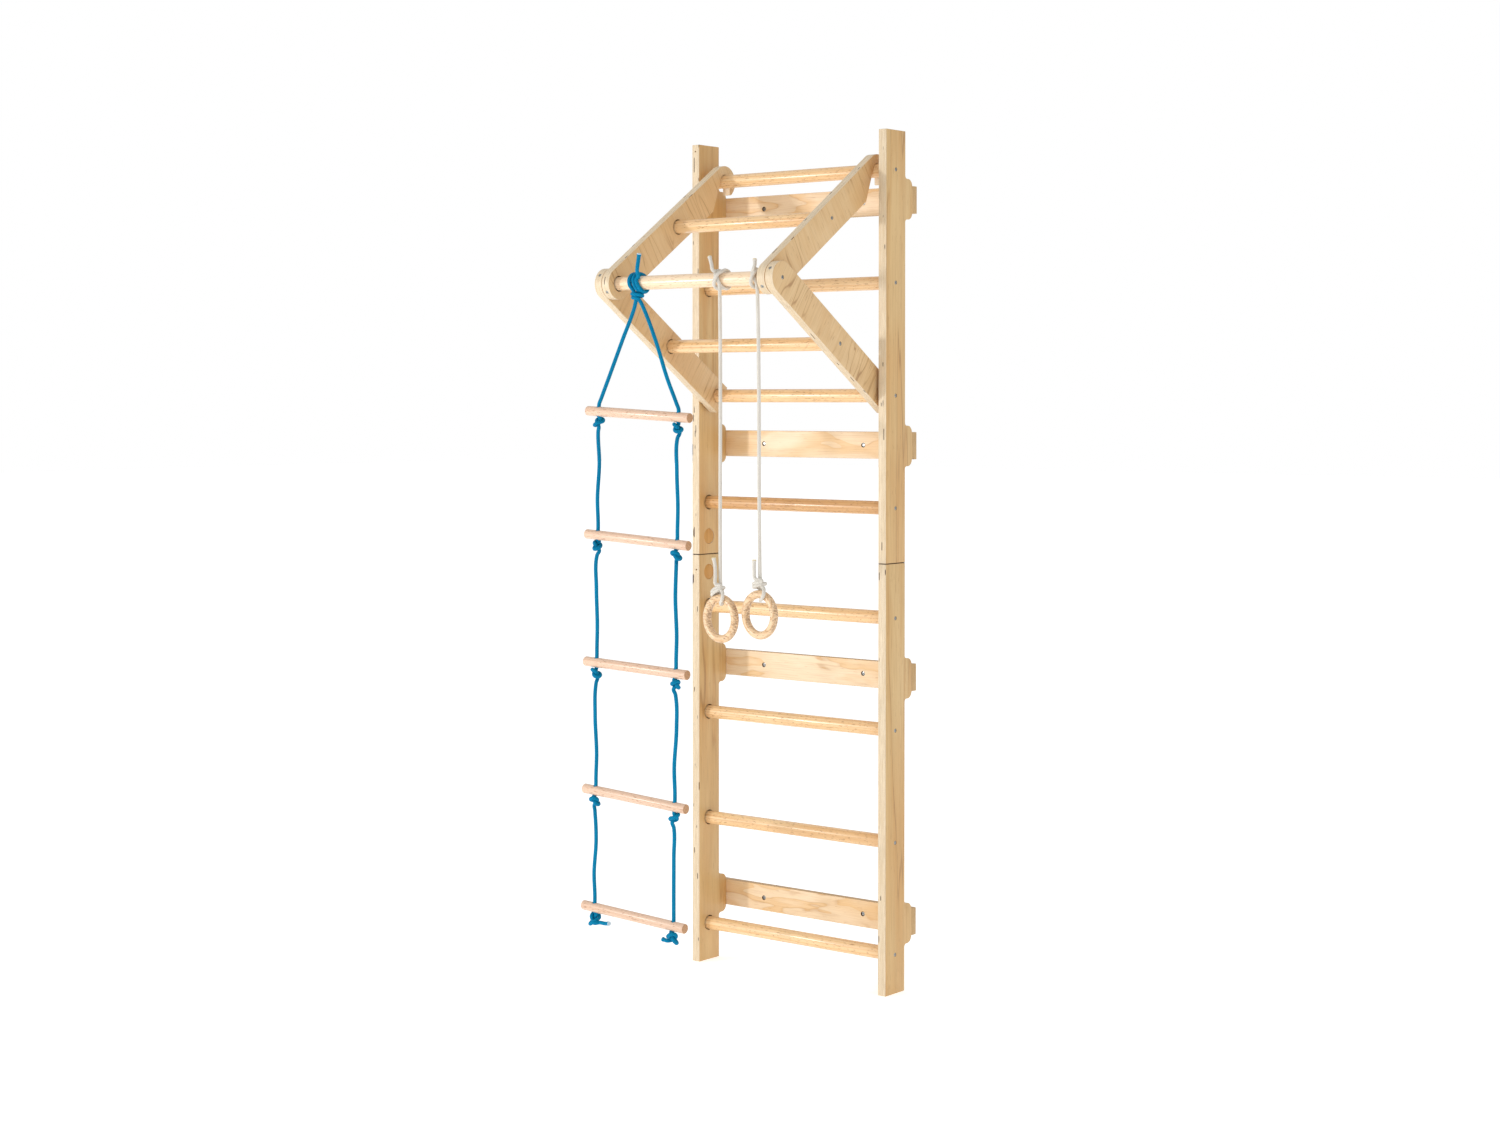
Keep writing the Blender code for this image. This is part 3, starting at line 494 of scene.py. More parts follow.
def carved(mesh, cutters):
    """Cut a mesh by cutters that stay clear of each other."""
    joined = bmesh.new()
    for cutter in cutters:
        joined.from_mesh(to_mesh(cutter, smooth=False))
    body = bpy.data.objects.new("body", mesh)
    tool = bpy.data.objects.new("tool", to_mesh(joined, smooth=False))
    for each in (body, tool):
        bpy.context.collection.objects.link(each)
    modifier = body.modifiers.new("cut", "BOOLEAN")
    modifier.operation = "DIFFERENCE"
    modifier.solver = "EXACT"
    modifier.object = tool
    graph = bpy.context.evaluated_depsgraph_get()
    result = bpy.data.meshes.new_from_object(body.evaluated_get(graph))
    for each in (body, tool):
        bpy.data.objects.remove(each, do_unlink=True)
    result.shade_smooth()
    result.set_sharp_from_angle(angle=radians(40))
    return result


def set_grain(mesh, origin, axes, shift):
    """Store where each corner lies in its wood: three axes from an origin, plus a shift."""
    stored = mesh.attributes.new("grain", "FLOAT_VECTOR", "POINT")
    for vertex, value in zip(mesh.vertices, stored.data):
        away = vertex.co - Vector(origin)
        value.vector = [away.dot(Vector(axis)) + more for axis, more in zip(axes, shift)]


def piece(name, mesh, materials, body, replaced=(), place=(0, 0, 0), turn=None):
    """Put a mesh into the scene as a piece that rides on a CAD body."""
    made = bpy.data.objects.new(name, mesh)
    bpy.context.collection.objects.link(made)
    if not mesh.materials:
        for material in materials:
            mesh.materials.append(material)
    made.location = Vector(place)
    if turn is not None:
        made.rotation_euler = turn.to_euler()
    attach(made, body)
    if replaced:
        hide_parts(*replaced)
    return made


def face_and_edge(mesh, hollows=(), through="x"):
    """Give a plate's faces its first material, its rim the second and its holes the third, painted
    shade.

    A hollow is (radius, centre): holes run from its centre along the plate's thickness.
    """
    for polygon in mesh.polygons:
        flat = abs(getattr(polygon.normal, through)) > 0.85
        polygon.material_index = 0 if flat else 1
        for radius, centre in hollows:
            corners = [mesh.vertices[i].co - Vector(centre) for i in polygon.vertices]
            for away in corners:
                setattr(away, through, 0)
            if max(away.length for away in corners) < radius:
                polygon.material_index = 2


# ---- ropes
def smooth_route(points, step):
    """Points on a smooth curve through the route's own points, at most 24 to a stretch."""
    ways = [(after - before).normalized() for before, after in zip(points, points[1:])]
    slopes = [ways[0]]
    slopes += [(before + after).normalized() for before, after in zip(ways, ways[1:])]
    slopes.append(ways[-1])
    route = [points[0]]
    for start, end, leave, arrive in zip(points, points[1:], slopes, slopes[1:]):
        length = (end - start).length
        count = max(1, min(24, round(length / step)))
        for i in range(1, count + 1):
            t = i / count
            route.append(start * (1 + 2 * t) * (1 - t) ** 2 + end * t ** 2 * (3 - 2 * t)
                         + leave * length * t * (1 - t) ** 2 - arrive * length * t ** 2 * (1 - t))
    return route


def rope(name, points, diameter, finish, core, body, slot, replaced):
    """A rope through a route's points: a tube whose u runs round it and whose v runs along it."""
    sides = 14
    radius = diameter / 2
    route = smooth_route(points, 0.0022)
    ways = [(after - before).normalized() for before, after in zip(route, route[1:])]
    ways = [ways[0]] + [(a + b).normalized() for a, b in zip(ways, ways[1:])] + [ways[-1]]
    bm = bmesh.new()
    laid = bm.loops.layers.uv.new("UVMap")
    side = ways[0].orthogonal().normalized()
    rings, runs = [], []
    run = 0.0
    for i, (place, way) in enumerate(zip(route, ways)):
        side = (side - way * side.dot(way)).normalized()
        other = way.cross(side)
        run += (place - route[i - 1]).length if i else 0.0
        from_end = min(i, len(route) - 1 - i)
        rounding = (1.08, 1.2, 1.16, 1.08)[from_end] if from_end < 4 else 1.0
        ring = [bm.verts.new(place + radius * rounding * (side * cos(2 * pi * j / sides)
                                                          + other * sin(2 * pi * j / sides)))
                for j in range(sides)]
        rings.append(ring)
        runs.append(run / (2 * pi * radius))
    tips = (0, len(route) - 2)
    for i, (low, high) in enumerate(zip(rings, rings[1:])):
        v_low, v_high = runs[i], runs[i + 1]
        for j in range(sides):
            k = (j + 1) % sides
            face = bm.faces.new((low[j], low[k], high[k], high[j]))
            face.material_index = 1 if i in tips else 0
            corners = ((j, v_low), (j + 1, v_low), (j + 1, v_high), (j, v_high))
            for loop, (u, v) in zip(face.loops, corners):
                loop[laid].uv = (u / sides, v)
    for ring in (rings[0], rings[-1]):
        bm.faces.new(ring).material_index = 1
    mesh = to_mesh(bm)
    made = piece(name, mesh, (finish, core), body, replaced)


def round_bar(x, degrees, diameter, layer=0.0):
    """A point of a rope turn on the bar: 0 degrees is its front, 90 its top."""
    reach = RUNG_RADIUS + 0.0003 + diameter / 2 + layer * 0.95 * diameter
    return Vector((x, BAR_Y - reach * cos(radians(degrees)), BAR_Z + reach * sin(radians(degrees))))


# An overhand knot about its own middle, in knot scales, from above to below.
OVERHAND = ((0.47, 0.33, 1.3), (0.03, 0.41, 0.62), (-0.46, 0.61, 0.02), (-0.88, 0.24, -0.55),
            (-0.82, -0.48, -0.87), (-0.29, -1.06, -0.81), (0.41, -1.1, -0.45),
            (0.86, -0.57, -0.08), (0.92, 0.21, 0.13), (0.81, 0.97, 0.38), (0.25, 1.36, 0.79),
            (-0.45, 1.15, 1.07), (-0.88, 0.49, 1.0), (-0.8, -0.17, 0.57),
            (-0.3, -0.36, -0.01), (0.15, -0.16, -0.65), (0.61, -0.14, -1.33))
# How the lowest knots let their loose ends out, in place of the last two points.
LOOSE_OUT = ((0.1, -0.62, -0.3), (0.85, -0.95, -0.52))
KNOT_SCALE = 0.0088
# Each ladder rung's drop below the bar and its tilt in degrees, as they hang in the photo.
LADDER_DROPS = (0.332, 0.65, 0.976, 1.309, 1.611)
LADDER_TILTS = (2.9, 3.1, 2.1, 3.1, 2.7)
LADDER_HOLE = 0.134
KNOT_DROP = 0.0278
LADDER_TAILS = {"left": ((0.0185, -0.003), (0.036, -0.003), (0.053, -0.001)),
                "right": ((-0.018, -0.005), (-0.027, -0.0045), (-0.036, -0.003))}


def ladder_rungs():
    """Each ladder rung's middle and its turn."""
    for drop, tilt in zip(LADDER_DROPS, LADDER_TILTS):
        x = -0.176 - 0.0133 * (drop - LADDER_DROPS[0])
        yield Vector((x, BAR_Y, BAR_Z - drop)), Matrix.Rotation(radians(tilt), 3, "Y")


def collar_turn(height, quarter_turns):
    """A point of the hitch's collar, under the bar, from its right side round the back."""
    angle = quarter_turns * pi / 2
    reach = 0.0162 - 0.27 * (1.616 - height)
    return Vector((LADDER_X + 0.0005 + reach * cos(angle), BAR_Y - 0.008 + 0.0105 * sin(angle),
                   height))


def near_bar(x, y, z):
    """A point of a rope near the bar, y from the bar's axis."""
    return Vector((x, BAR_Y + y, z))


def ladder_route(name, side):
    """One side rope of the ladder, from the bar down to its loose end."""
    if side > 0:
        front = ((0, 22), (0.0045, -15), (0.0085, -52))
        back = ((0.008, -92), (0.005, -135), (0.001, -180), (-0.003, -225), (-0.0075, -268),
                (-0.01, -310))
        route = [near_bar(-0.1425, -0.033, 1.711), near_bar(-0.1478, -0.0315, 1.69),
                 near_bar(-0.1532, -0.029, 1.668), round_bar(-0.1578, 38, BLUE_ROPE, 0.15)]
        for x, turns in ((-0.1625, front + back), (-0.173, front)):
            route += [round_bar(x + across, angle, BLUE_ROPE) for across, angle in turns]
        route += [collar_turn(1.616 - 0.00115 * i, 0.35 + 0.5 * i) for i in range(15)]
        route += [near_bar(-0.1655, -0.004, 1.593), near_bar(-0.16, 0, 1.58)]
    else:
        turns = ((-0.18, -48), (-0.1845, -12), (-0.1865, 25), (-0.1865, 62), (-0.186, 100),
                 (-0.185, 140), (-0.183, 180), (-0.18, 222))
        route = [near_bar(-0.173, -0.0085, 1.6065), near_bar(-0.1755, -0.0135, 1.613)]
        route += [round_bar(x, angle, BLUE_ROPE) for x, angle in turns]
        route += [near_bar(-0.178, 0.004, 1.6135), near_bar(-0.1765, -0.004, 1.602),
                  near_bar(-0.1815, -0.003, 1.59), near_bar(-0.188, 0, 1.577)]
    for i, (middle, turn) in enumerate(ladder_rungs()):
        up = turn @ Vector((0, 0, 1))
        hole = middle + turn @ Vector((side * LADDER_HOLE, 0, 0))
        knot = hole - (KNOT_DROP + (0.0035 if i == 4 else 0)) * up
        swing = Matrix.Rotation(0.5 + 1.1 * i + side * 0.9, 3, "Z")
        last = i == len(LADDER_DROPS) - 1
        if last:
            swing = Matrix.Rotation(0 if side < 0 else pi, 3, "Z")
        entry = hole + 0.0195 * up
        reach = entry - route[-1]
        bow = Vector((0.0022 * sin(2.1 * i + side), 0.003 * cos(1.7 * i + side), 0))
        route += [route[-1] + 0.33 * reach + bow, route[-1] + 0.7 * reach - 0.6 * bow,
                  entry - 0.05 * reach, entry, hole + 0.004 * up, hole - 0.011 * up]
        parts = OVERHAND[:-2] + LOOSE_OUT if last else OVERHAND
        tall = Vector((1.18, 1.15, 1.45) if last else (1, 1, 1))
        route += [knot + KNOT_SCALE * (turn @ swing @ (Vector(part) * tall)) for part in parts]
        if not last:
            route.append(knot - 0.024 * up)
    route += [knot + Vector((x, 0, z - 0.003)) for x, z in LADDER_TAILS[name]]
    return route


RING_YAW = radians(8)
ALONG_TUBE = Vector((cos(RING_YAW), -sin(RING_YAW), 0))
FACING = Vector((-sin(RING_YAW), -cos(RING_YAW), 0))

# Where each white rope hangs, and how its loop and knot differ: the loop's lift and shift, and
# the knot's middle, half width and slant.
ROPE_X = {"left": 0.111, "right": 0.229}
ROPE_LEAN = {"left": -0.0008, "right": 0.0008}
LOOP_LIFT = {"left": 0.0, "right": 0.0012}
LOOP_SHIFT = {"left": 0.0005, "right": 0.008}
KNOT_WRAPS = {"left": ((-0.0105, 0.019), 0.02, radians(26)),
              "right": ((-0.001, 0.024), 0.0182, radians(9))}

# The loose ends: above the bar, from the tip down, and above the ring, up to the tip.
HITCH_TAILS = {"left": ((-0.0254, -0.02, 0.058), (-0.017, -0.0225, 0.038),
                        (-0.0085, -0.0262, 0.0215)),
               "right": ((0.001, -0.02, 0.046), (0.0035, -0.0235, 0.03),
                         (0.0015, -0.0268, 0.0175))}
KNOT_TAILS = {"left": ((-0.0056, 0.011, 0.034), (-0.0078, 0.011, 0.055),
                       (-0.0105, 0.0095, 0.079), (-0.0134, 0.012, 0.101)),
              "right": ((-0.006, 0.01, 0.038), (-0.0085, 0.0105, 0.055),
                        (-0.0095, 0.01, 0.07), (-0.01, 0.009, 0.084))}


def ring_top(name):
    """The middle of a ring's tube at its top."""
    return Vector((RING_X[name], RING_Y, RING_Z[name] + 0.05))


def ring_route(name):
    """A ring's rope: tail, clove hitch on the bar, long drop, loop, knot and tail."""
    x = HITCH_X[name]
    across = [(-0.005, 52, 0.1), (-0.0015, 24, 0), (0.0035, -10, 0), (0.008, -48, 0),
              (0.01, -92, 0), (0.009, -140, 0.05), (0.0085, -182, 0.1), (0.0088, -225, 0.1),
              (0.0096, -270, 0.05), (0.0098, -308, 0.25), (0.006, -336, 0.85), (0.0, -360, 1.0),
              (-0.006, -385, 0.8), (-0.01, -412, 0.2), (-0.0112, -450, 0.0),
              (-0.0112, -495, 0), (-0.0112, -540, 0), (-0.011, -585, 0), (-0.0104, -630, 0),
              (-0.0092, -668, 0), (-0.006, -700, 0), (0.0, -724, 0), (0.005, -742, 0)]
    points = [Vector((x + dx, BAR_Y + dy, BAR_Z + dz)) for dx, dy, dz in HITCH_TAILS[name]]
    points += [round_bar(x + dx, angle, WHITE_ROPE, layer) for dx, angle, layer in across]
    hang = ROPE_X[name]
    points.append(Vector((0.75 * hang + 0.25 * (x + 0.006), RING_Y + 0.0004, BAR_Z - 0.024)))
    points.append(Vector((hang, RING_Y, BAR_Z - 0.045)))

    top = ring_top(name)
    lean = ROPE_LEAN[name]
    lift = LOOP_LIFT[name]
    shift = LOOP_SHIFT[name]

    def at(a, f, z):
        return top + a * ALONG_TUBE + f * FACING + Vector((0, 0, z))

    points += [at(lean - 0.001, 0, 0.08), at(1.25 * lean - 0.001, -0.0005, 0.052),
               at(1.25 * lean - 0.001, -0.001, 0.036), at(-0.0005, 0.0, 0.024 + lift),
               at(0.0145 + shift, 0.008, 0.015), at(0.0195 + shift, 0.0126, 0.008),
               at(0.0196 + shift, 0.0138, 0.0008), at(0.0155 + shift, 0.0134, -0.0062),
               at(0.0085 + 0.5 * shift, 0.0085, -0.0118), at(0.001, -0.0015, -0.0143),
               at(-0.003, -0.0112, -0.0092), at(-0.006, -0.0143, 0.0002),
               at(-0.0095, -0.0125, 0.0095), at(-0.014, -0.0085, 0.0145)]
    middle, reach, slant = KNOT_WRAPS[name]
    for i in range(13):
        angle = pi * (0.8 + 0.25 * i)
        out = reach * cos(angle)
        points.append(at(middle[0] + out * cos(slant), -0.0102 * sin(angle),
                         middle[1] + out * sin(slant) - 0.0055 + 0.011 * i / 12))
    points += [at(*tail) for tail in KNOT_TAILS[name]]
    return points


def build_ropes(made):
    blue = (made["blue"], made["blue_core"], "rope_ladder", "blue_rope")
    nodes = {"left": ("ladder_rope_left",), "right": ("ladder_rope_right", "ladder_hitch")}
    for name, side in SIDES.items():
        rope(f"ladder_rope_{name}_laid", ladder_route(name, side), BLUE_ROPE, *blue, nodes[name])
        white = (made["white"], made["white_core"], f"ring_rope_{name}", "white_rope")
        rope(f"ring_rope_{name}_laid", ring_route(name), WHITE_ROPE, *white,
             (f"ring_rope_{name}", f"ring_hitch_{name}", f"ring_loop_{name}"))


# ---- screws
def screw_mesh(length, head=0.0045):
    """A countersunk cross-head screw along -Z, with the top of its head at the origin."""
    shank = 0.0021
    body = to_mesh(turned([(head - 0.0005, 0.0), (head - 0.00015, -0.0001), (head, -0.00035),
                           (head, -0.0006), (shank, -0.0034), (shank, 0.002 - length),
                           (0.0005, -length)], 32))
    for turn in (0, pi / 2):
        cross = bmesh.new()
        bmesh.ops.create_cube(cross, size=1)
        for vertex in cross.verts:
            low = vertex.co.z < 0
            vertex.co.x *= 0.0022 if low else 0.005
            vertex.co.y *= 0.0006 if low else 0.0011
            vertex.co.z = -0.0021 if low else 0.001
        cross.transform(Matrix.Rotation(turn, 4, "Z"))
        body = carved(body, [cross])
    return body


def socket(depth):
    """Cutter for a rung's socket, with a slight ease at its mouth."""
    wall = RUNG_RADIUS + 0.001
    mouth = RUNG_RADIUS + 0.0024
    return turned([(mouth, -0.004), (mouth, 0.0), (wall, 0.0018), (wall, depth)], 64)


def screw_seat():
    """Cutter for a screw's countersink, from just above the surface it is driven into."""
    return turned([(0.0051, 0.004), (0.0051, 0.0001), (0.0048, -0.0006), (0.0023, -0.0042)], 32)


# ---- wall ladder
def rung_heights():
    """The four rungs of a rail section, from its outer end."""
    pitch = (SECTION - FIRST_RUNG - LAST_RUNG_FROM_SEAM) / 3
    return [FIRST_RUNG + i * pitch for i in range(4)]


def rail_outline():
    rear = RAIL_DEPTH / 2
    outline = [(-rear, 0), (rear, 0)]
    for middle in BOARDS_FROM_END:
        low, high = middle - 0.052, middle + 0.052
        fillet = rear + 0.008
        corner = rear + 0.031 - 0.018 - 0.0003
        outline += arc((fillet, low - 0.008), 0.008, pi, pi / 2, 8)
        outline += arc((corner, low + 0.018), 0.018, -pi / 2, 0, 12)
        outline += arc((corner, high - 0.018), 0.018, 0, pi / 2, 12)
        outline += arc((fillet, high + 0.008), 0.008, -pi / 2, -pi, 8)
    return outline + [(rear, SECTION - SEAM_GAP), (-rear, SECTION - SEAM_GAP)]


def build_rails(made):
    rail_screw = screw_mesh(0.04)
    heads = bmesh.new()
    for name, side in SIDES.items():
        for half, up, start in (("lower", 1, RAIL_BOTTOM),
                                ("upper", -1, RAIL_BOTTOM + RAIL_HEIGHT)):
            outline = [(RUNG_Y + y, start + up * z) for y, z in rail_outline()]
            inner = side * RAIL_INNER
            body = to_mesh(plate(outline, inner, inner + side * PLY))
            bores, seats, hollows = [], [], []
            for height in rung_heights():
                z = start + up * height
                bores.append(moved(socket(SOCKET_DEPTH), (inner, RUNG_Y, z), (side, 0, 0)))
                # The socket and the countersink over it get painted shade.
                hollows.append((PAINTED_SHADE_RADIUS, (inner, RUNG_Y, z)))
                head = (side * (RAIL_OUTER - SCREW_SUNK), RUNG_Y, z)
                seats.append(moved(screw_seat(), (side * RAIL_OUTER, RUNG_Y, z), (side, 0, 0)))
                one = spun(rail_screw, 1.7 * len(heads.verts))
                heads.from_mesh(to_mesh(moved(one, head, (side, 0, 0))))
            pocket_z = start + up * (SECTION - POCKET_FROM_SEAM)
            pocket = turned([(0.0212, -0.004), (0.0212, 0.0002), (0.0209, 0.0008),
                             (0.0209, 0.017)], 64)
            bores.append(moved(pocket, (inner, RUNG_Y, pocket_z), (side, 0, 0)))
            mesh = carved(body, bores + seats)
            if side < 0:
                # The left rail's front edge shows a small hole in each section.
                pin_z = 0.887 if half == "lower" else 2.01
                pin_x = -0.306 if half == "lower" else -0.3087
                front = RUNG_Y - RAIL_DEPTH / 2
                pin = turned([(0.0024, -0.004), (0.0024, 0.006)], 16)
                # The pin hole's inside gets painted shade.
                hollows.append((0.003, (0, front, pin_z)))
                mesh = carved(mesh, [moved(pin, (pin_x, front, pin_z), (0, 1, 0))])
            face_and_edge(mesh, hollows)
            # The eased edges at the seam get painted shade, for the dark line of shadow between the
            # sections.
            for polygon in mesh.polygons:
                at_seam = abs(polygon.center.z - RAIL_BOTTOM - SECTION) < 0.0016
                if at_seam and abs(polygon.normal.z) > 0.2:
                    polygon.material_index = 2
            shift = (0, 3.1 * side + 0.7 * up, 5.3 * side - 2.1 * up)
            set_grain(mesh, (inner, RUNG_Y, 0), ((side, 0, 0), (0, 1, 0), (0, 0, 1)), shift)
            faces = (made["ply_face"], made["ply_edge"], made["recess_shade"])
            piece(f"rail_{half}_{name}_ply", mesh, faces, "wall_ladder",
                  (f"rail_{half}_{name}",))
    piece("rail_screws", to_mesh(heads), (made["steel"],), "wall_ladder")


def lying_dowel(half, radius, round_off, pilot=0.0):
    """A dowel along X with rounded ends, and a pilot hole in each end."""
    side = arc((radius - round_off, half - round_off), round_off, pi / 2, 0, 4)
    profile = side + [(r, -z) for r, z in reversed(side)]
    if pilot:
        profile = [(0.0022, half - pilot), (0.0022, half)] + profile
        profile += [(0.0022, -half), (0.0022, pilot - half)]
    return moved(turned(profile, 64), (0, 0, 0), (1, 0, 0))


def build_wall_rungs(made):
    for i in range(8):
        height = rung_heights()[i % 4] if i < 4 else RAIL_HEIGHT - rung_heights()[7 - i]
        z = RAIL_BOTTOM + height
        bm = lying_dowel(RAIL_INNER + SOCKET_DEPTH - 0.0003, RUNG_RADIUS, 0.0015, 0.02)
        mesh = to_mesh(moved(bm, (0, RUNG_Y, z)))
        pith = (0.019 * sin(2.3 * i + 1), 0.021 * cos(1.7 * i))
        set_grain(mesh, (0, RUNG_Y + pith[0], z + pith[1]), GRAIN_ALONG_X, (0, 0, 3.7 * i))
        finish = made["rung_streaked" if i == 4 else "rung"]
        piece(f"wall_rung_{i + 1}_beech", mesh, (finish,), "wall_ladder",
              (f"wall_rung_{i + 1}",))


def build_wall_boards(made):
    """Pine-faced plywood boards behind the rails, each with two sunk screws into the wall."""
    middles = BOARDS_FROM_END + tuple(RAIL_HEIGHT - z for z in reversed(BOARDS_FROM_END))
    head = screw_mesh(0.0178, 0.0046)
    for i, height in enumerate(middles, start=1):
        z = RAIL_BOTTOM + height
        low, high = z - BOARD_HALF_HEIGHT, z + BOARD_HALF_HEIGHT
        bm = plate([(-RAIL_OUTER, low), (RAIL_OUTER, low), (RAIL_OUTER, high),
                    (-RAIL_OUTER, high)], 0, 0.02)
        bm.transform(Matrix.Rotation(-pi / 2, 4, "Z"))
        mesh = to_mesh(bm)
        seats = []
        screws = bmesh.new()
        for side in SIDES.values():
            x = side * BOARD_SCREW_X
            seat = turned([(0.0064, 0.004), (0.0064, 0.0001), (0.0058, -0.0006), (0.0058, -0.0026),
                           (0.003, -0.0052), (0.003, -0.026)], 32)
            seats.append(moved(seat, (x, -0.02, z), (0, -1, 0)))
            one = spun(head, 1.1 * i + side)
            screws.from_mesh(to_mesh(moved(one, (x, -0.0182, z), (0, -1, 0))))
        mesh = carved(mesh, seats)
        # The countersinks and screw holes get painted shade.
        holes = [(0.0065, (side * BOARD_SCREW_X, 0, z)) for side in SIDES.values()]
        face_and_edge(mesh, holes, "y")
        set_grain(mesh, (0, 0, z), GRAIN_ALONG_X, (0.02, 0.9 * i, 2.9 * i))
        piece(f"wall_board_{i}_pine", mesh, (made["board"], made["board_end"], made["recess_shade"]),
              "wall_ladder", (f"wall_board_{i}",))
        piece(f"wall_board_screws_{i}", to_mesh(screws), (made["steel"],), "wall_ladder")


def build_caps(made):
    """The round joint caps, and steel for the CAD's own bolts and nuts behind them."""
    profile = [(0.0001, 0.003), (0.019, 0.003), (0.0202, 0.0026), (0.0206, 0.0018),
               (0.0206, 0.0004), (0.0202, 0.0)]
    for name, side in SIDES.items():
        for half, up in (("lower", -1), ("upper", 1)):
            z = RAIL_BOTTOM + SECTION + up * POCKET_FROM_SEAM
            centre = (side * (RAIL_INNER + 0.004), RUNG_Y, z)
            mesh = to_mesh(moved(turned(profile, 64), centre, (-side, 0, 0)))
            shift = (2 * up, 1.3 * side, up + side)
            set_grain(mesh, centre, ((1, 0, 0), (0, 1, 0), (0, 0, 1)), shift)
            piece(f"joint_cap_{half}_{name}_wood", mesh, (made["cap"],), "wall_ladder",
                  (f"joint_cap_{half}_{name}",))
        for node in (f"joint_bolt_{name}", f"joint_nut_{name}"):
            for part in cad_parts[node].material_slots:
                part.material = made["steel"]


# ---- pull-up frame
UPPER_ANGLE = atan2(BAR_DROP, BAR_REACH)
LOWER_ANGLE = atan2(TOP_RUNG_Z - FORK_DROP - BAR_Z, BAR_REACH)
SLOT_RADIUS = RUNG_RADIUS + 0.0012
CROSS_RUNG = 0.28
LOCK_REACH = 0.0392


def along(angle, distance, across=0.0):
    return (distance * cos(angle) - across * sin(angle),
            distance * sin(angle) + across * cos(angle))


def upper_arm_outline():
    """Round end about the bar, hook about the top rung, which is the origin."""
    angle = UPPER_ANGLE
    length = hypot(BAR_REACH, BAR_DROP)
    hook, lean, tip_round = 0.042, radians(20), 0.004
    bar = along(angle, -length)
    edge = acos((hook - ARM_RADIUS) / length) + angle
    touch = (-SLOT_RADIUS * cos(lean), SLOT_RADIUS * sin(lean))
    below = (sin(angle), -cos(angle))
    down = (-sin(lean), -cos(lean))
    gap = ARM_RADIUS - (touch[0] * below[0] + touch[1] * below[1])
    run = gap / (down[0] * below[0] + down[1] * below[1])
    tip_y = SLOT_RADIUS + tip_round
    tip = (tip_y, -sqrt((hook - tip_round) ** 2 - tip_y ** 2))
    tip_angle = atan2(tip[1], tip[0])
    outline = arc(bar, ARM_RADIUS, edge, angle + 1.5 * pi, 40)
    outline.append((touch[0] + run * down[0], touch[1] + run * down[1]))
    outline += arc((0, 0), SLOT_RADIUS, pi - lean, 0, 32)
    outline += arc(tip, tip_round, pi, 2 * pi + tip_angle, 12)
    return outline + arc((0, 0), hook, tip_angle, edge, 40)


def lower_arm_outline():
    """Round end about the bar, which is the origin, and a fork along the arm's axis."""
    angle = LOWER_ANGLE
    length = hypot(BAR_REACH, TOP_RUNG_Z - FORK_DROP - BAR_Z)
    end = length + 0.021
    outline = arc((0, 0), ARM_RADIUS, angle + pi / 2, angle + 1.5 * pi, 48)
    outline += [along(angle, end, -ARM_RADIUS), along(angle, end, -SLOT_RADIUS)]
    outline += arc(along(angle, length), SLOT_RADIUS, angle - pi / 2, angle - 1.5 * pi, 32)
    return outline + [along(angle, end, SLOT_RADIUS), along(angle, end, ARM_RADIUS)]


def build_arm(made, row, name, side, outline, angle, inner, body):
    """An arm with its sockets and screws.  Its veneer runs across it."""
    base = (RUNG_Y, TOP_RUNG_Z) if row == "upper" else (BAR_Y, BAR_Z)
    places = [(base[0] + y, base[1] + z) for y, z in outline]
    apart = (0, 0.0006) if row == "upper" else (0.0006, 0)
    mesh = to_mesh(plate(places, side * (inner + apart[0]), side * (inner + PLY - apart[1])))
    y, z = along(angle, CROSS_RUNG)
    rung = (BAR_Y + y, BAR_Z + z)
    bar_bore = PLY + 0.004 if row == "upper" else SOCKET_DEPTH
    bores = []
    for (y, z), depth in ((rung, SOCKET_DEPTH), ((BAR_Y, BAR_Z), bar_bore)):
        bores.append(moved(socket(depth), (side * inner, y, z), (side, 0, 0)))
    mesh = carved(mesh, bores)
    outside = side * (inner + PLY)
    seats = [moved(screw_seat(), (outside, *rung), (side, 0, 0))]
    if row == "lower":
        seats.append(moved(screw_seat(), (outside, BAR_Y, BAR_Z), (side, 0, 0)))
    lock_y, lock_z = along(angle, -ARM_RADIUS)
    way_out = Vector((0, *along(angle, -1)))
    lock = Vector((side * (inner + PLY / 2), BAR_Y + lock_y, BAR_Z + lock_z))
    seats.append(moved(screw_seat(), lock, way_out))
    mesh = carved(mesh, seats)
    # The sockets and countersinks at the rung and the bar get painted shade.
    face_and_edge(mesh, [(PAINTED_SHADE_RADIUS, (0, *rung)), (PAINTED_SHADE_RADIUS, (0, BAR_Y, BAR_Z))])
    along_arm = Vector((0, *along(angle, 1)))
    across_arm = Vector((0, *along(angle, 0, 1)))
    set_grain(mesh, (side * inner, BAR_Y, BAR_Z), ((side, 0, 0), along_arm, across_arm),
              (0, 2.3 * side + angle, 1.9 + side))
    piece(f"{row}_arm_{name}_ply", mesh, (made["arm_face"], made["ply_edge"], made["recess_shade"]),
          body, (f"{row}_arm_{name}",))

    sunk = outside - side * SCREW_SUNK
    cross = Vector((sunk, *rung))
    heads = [(f"cross_rung_screw_{row}_{name}", cross, Vector((side, 0, 0)), body, 0.04)]
    heads.append((f"lock_screw_{row}_{name}",
                  Vector((lock.x, BAR_Y, BAR_Z)) + LOCK_REACH * way_out, way_out, body,
                  0.031 if row == "upper" else 0.021))
    if row == "lower":
        heads.append((f"bar_end_screw_{name}", Vector((sunk, BAR_Y, BAR_Z)),
                      Vector((side, 0, 0)), "upper_frame", 0.04))
    for node, place, way, rider, length in heads:
        bm = spun(screw_mesh(length), 0.9 * side + length * 40)
        piece(f"{node}_head", to_mesh(moved(bm, place, way)), (made["steel"],), rider,
              (node,))


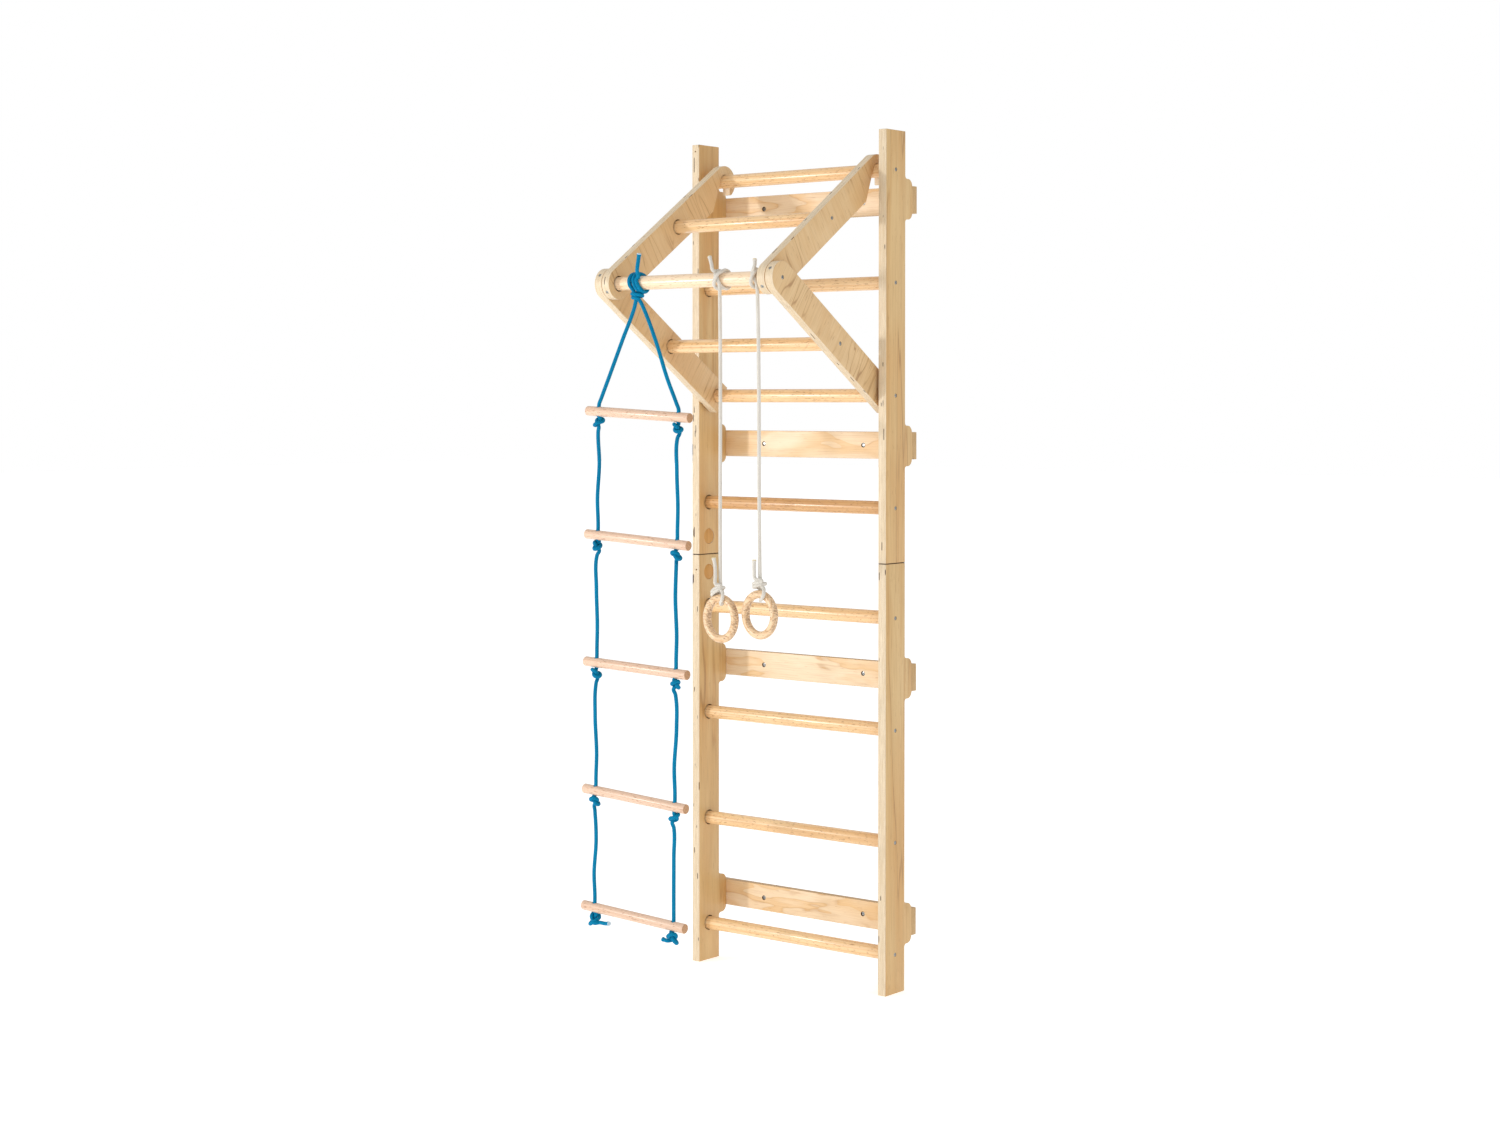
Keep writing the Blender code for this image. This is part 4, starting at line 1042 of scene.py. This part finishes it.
def build_frame(made):
    for name, side in SIDES.items():
        build_arm(made, "upper", name, side, upper_arm_outline(), UPPER_ANGLE,
                  UPPER_ARM_INNER, "upper_frame")
        build_arm(made, "lower", name, side, lower_arm_outline(), LOWER_ANGLE,
                  LOWER_ARM_INNER, "lower_frame")
    rods = [("pull_up_bar", 0.2777, (BAR_Y, BAR_Z), "upper_frame", "bar", 0)]
    for row, angle, inner in (("upper", UPPER_ANGLE, UPPER_ARM_INNER),
                              ("lower", LOWER_ANGLE, LOWER_ARM_INNER)):
        y, z = along(angle, CROSS_RUNG)
        rods.append((f"{row}_cross_rung", inner + SOCKET_DEPTH - 0.0003, (BAR_Y + y, BAR_Z + z),
                     f"{row}_frame", "rung", angle + 2))
    for node, half, (y, z), body, finish, seed in rods:
        mesh = to_mesh(moved(lying_dowel(half, RUNG_RADIUS, 0.0015, 0.02), (0, y, z)))
        set_grain(mesh, (0, y + 0.02, z - 0.012 * cos(seed)), GRAIN_ALONG_X,
                  (0, 0, 21.3 + 3.1 * seed))
        piece(f"{node}_beech", mesh, (made[finish],), body, (node,))


# ---- rope ladder and rings
def build_ladder_rungs(made):
    for i, (middle, turn) in enumerate(ladder_rungs(), start=1):
        mesh = to_mesh(lying_dowel(0.1725, 0.0125, 0.0022))
        holes = []
        for x in (-LADDER_HOLE, LADDER_HOLE):
            hole = turned([(0.0076, -0.016), (0.0064, -0.0105), (0.0062, -0.009), (0.0062, 0.009),
                           (0.0064, 0.0105), (0.0076, 0.016)], 32)
            holes.append(moved(hole, (x, 0, 0)))
        mesh = carved(mesh, holes)
        for polygon in mesh.polygons:
            polygon.material_index = 1 if abs(polygon.normal.x) > 0.8 else 0
        set_grain(mesh, (0, 0.013 * cos(1.3 * i), 0.015 * sin(2.1 * i)), GRAIN_ALONG_X,
                  (0, 0, 31 + 2.7 * i))
        piece(f"ladder_rung_{i}_beech", mesh, (made["ladder_rung"], made["ladder_end"]),
              "rope_ladder", (f"ladder_rung_{i}",), middle, turn)


def build_rings(made):
    turn = Matrix((ALONG_TUBE, (0, 0, 1), FACING)).transposed()
    for name, side in SIDES.items():
        profile = arc((0.05, 0), 0.01, 0, 2 * pi * 31 / 32, 31)
        mesh = to_mesh(moved(turned(profile, 128, ring=True), (0, -0.05, 0)))
        set_grain(mesh, (0.02, 0.03, 0.012 * side), ((0, 0, 1), (0, 1, 0), (1, 0, 0)),
                  (0.4, 0.2 * side, 7.7 + 1.9 * side))
        piece(f"ring_{name}_beech", mesh, (made["ring"],), f"ring_{name}",
              (f"ring_{name}",), ring_top(name), turn)


# ---- the whole scene
camera()
materials = finishes()
for build in (build_ropes, build_rails, build_wall_rungs, build_wall_boards, build_caps,
              build_frame, build_ladder_rungs, build_rings):
    build(materials)
studio()
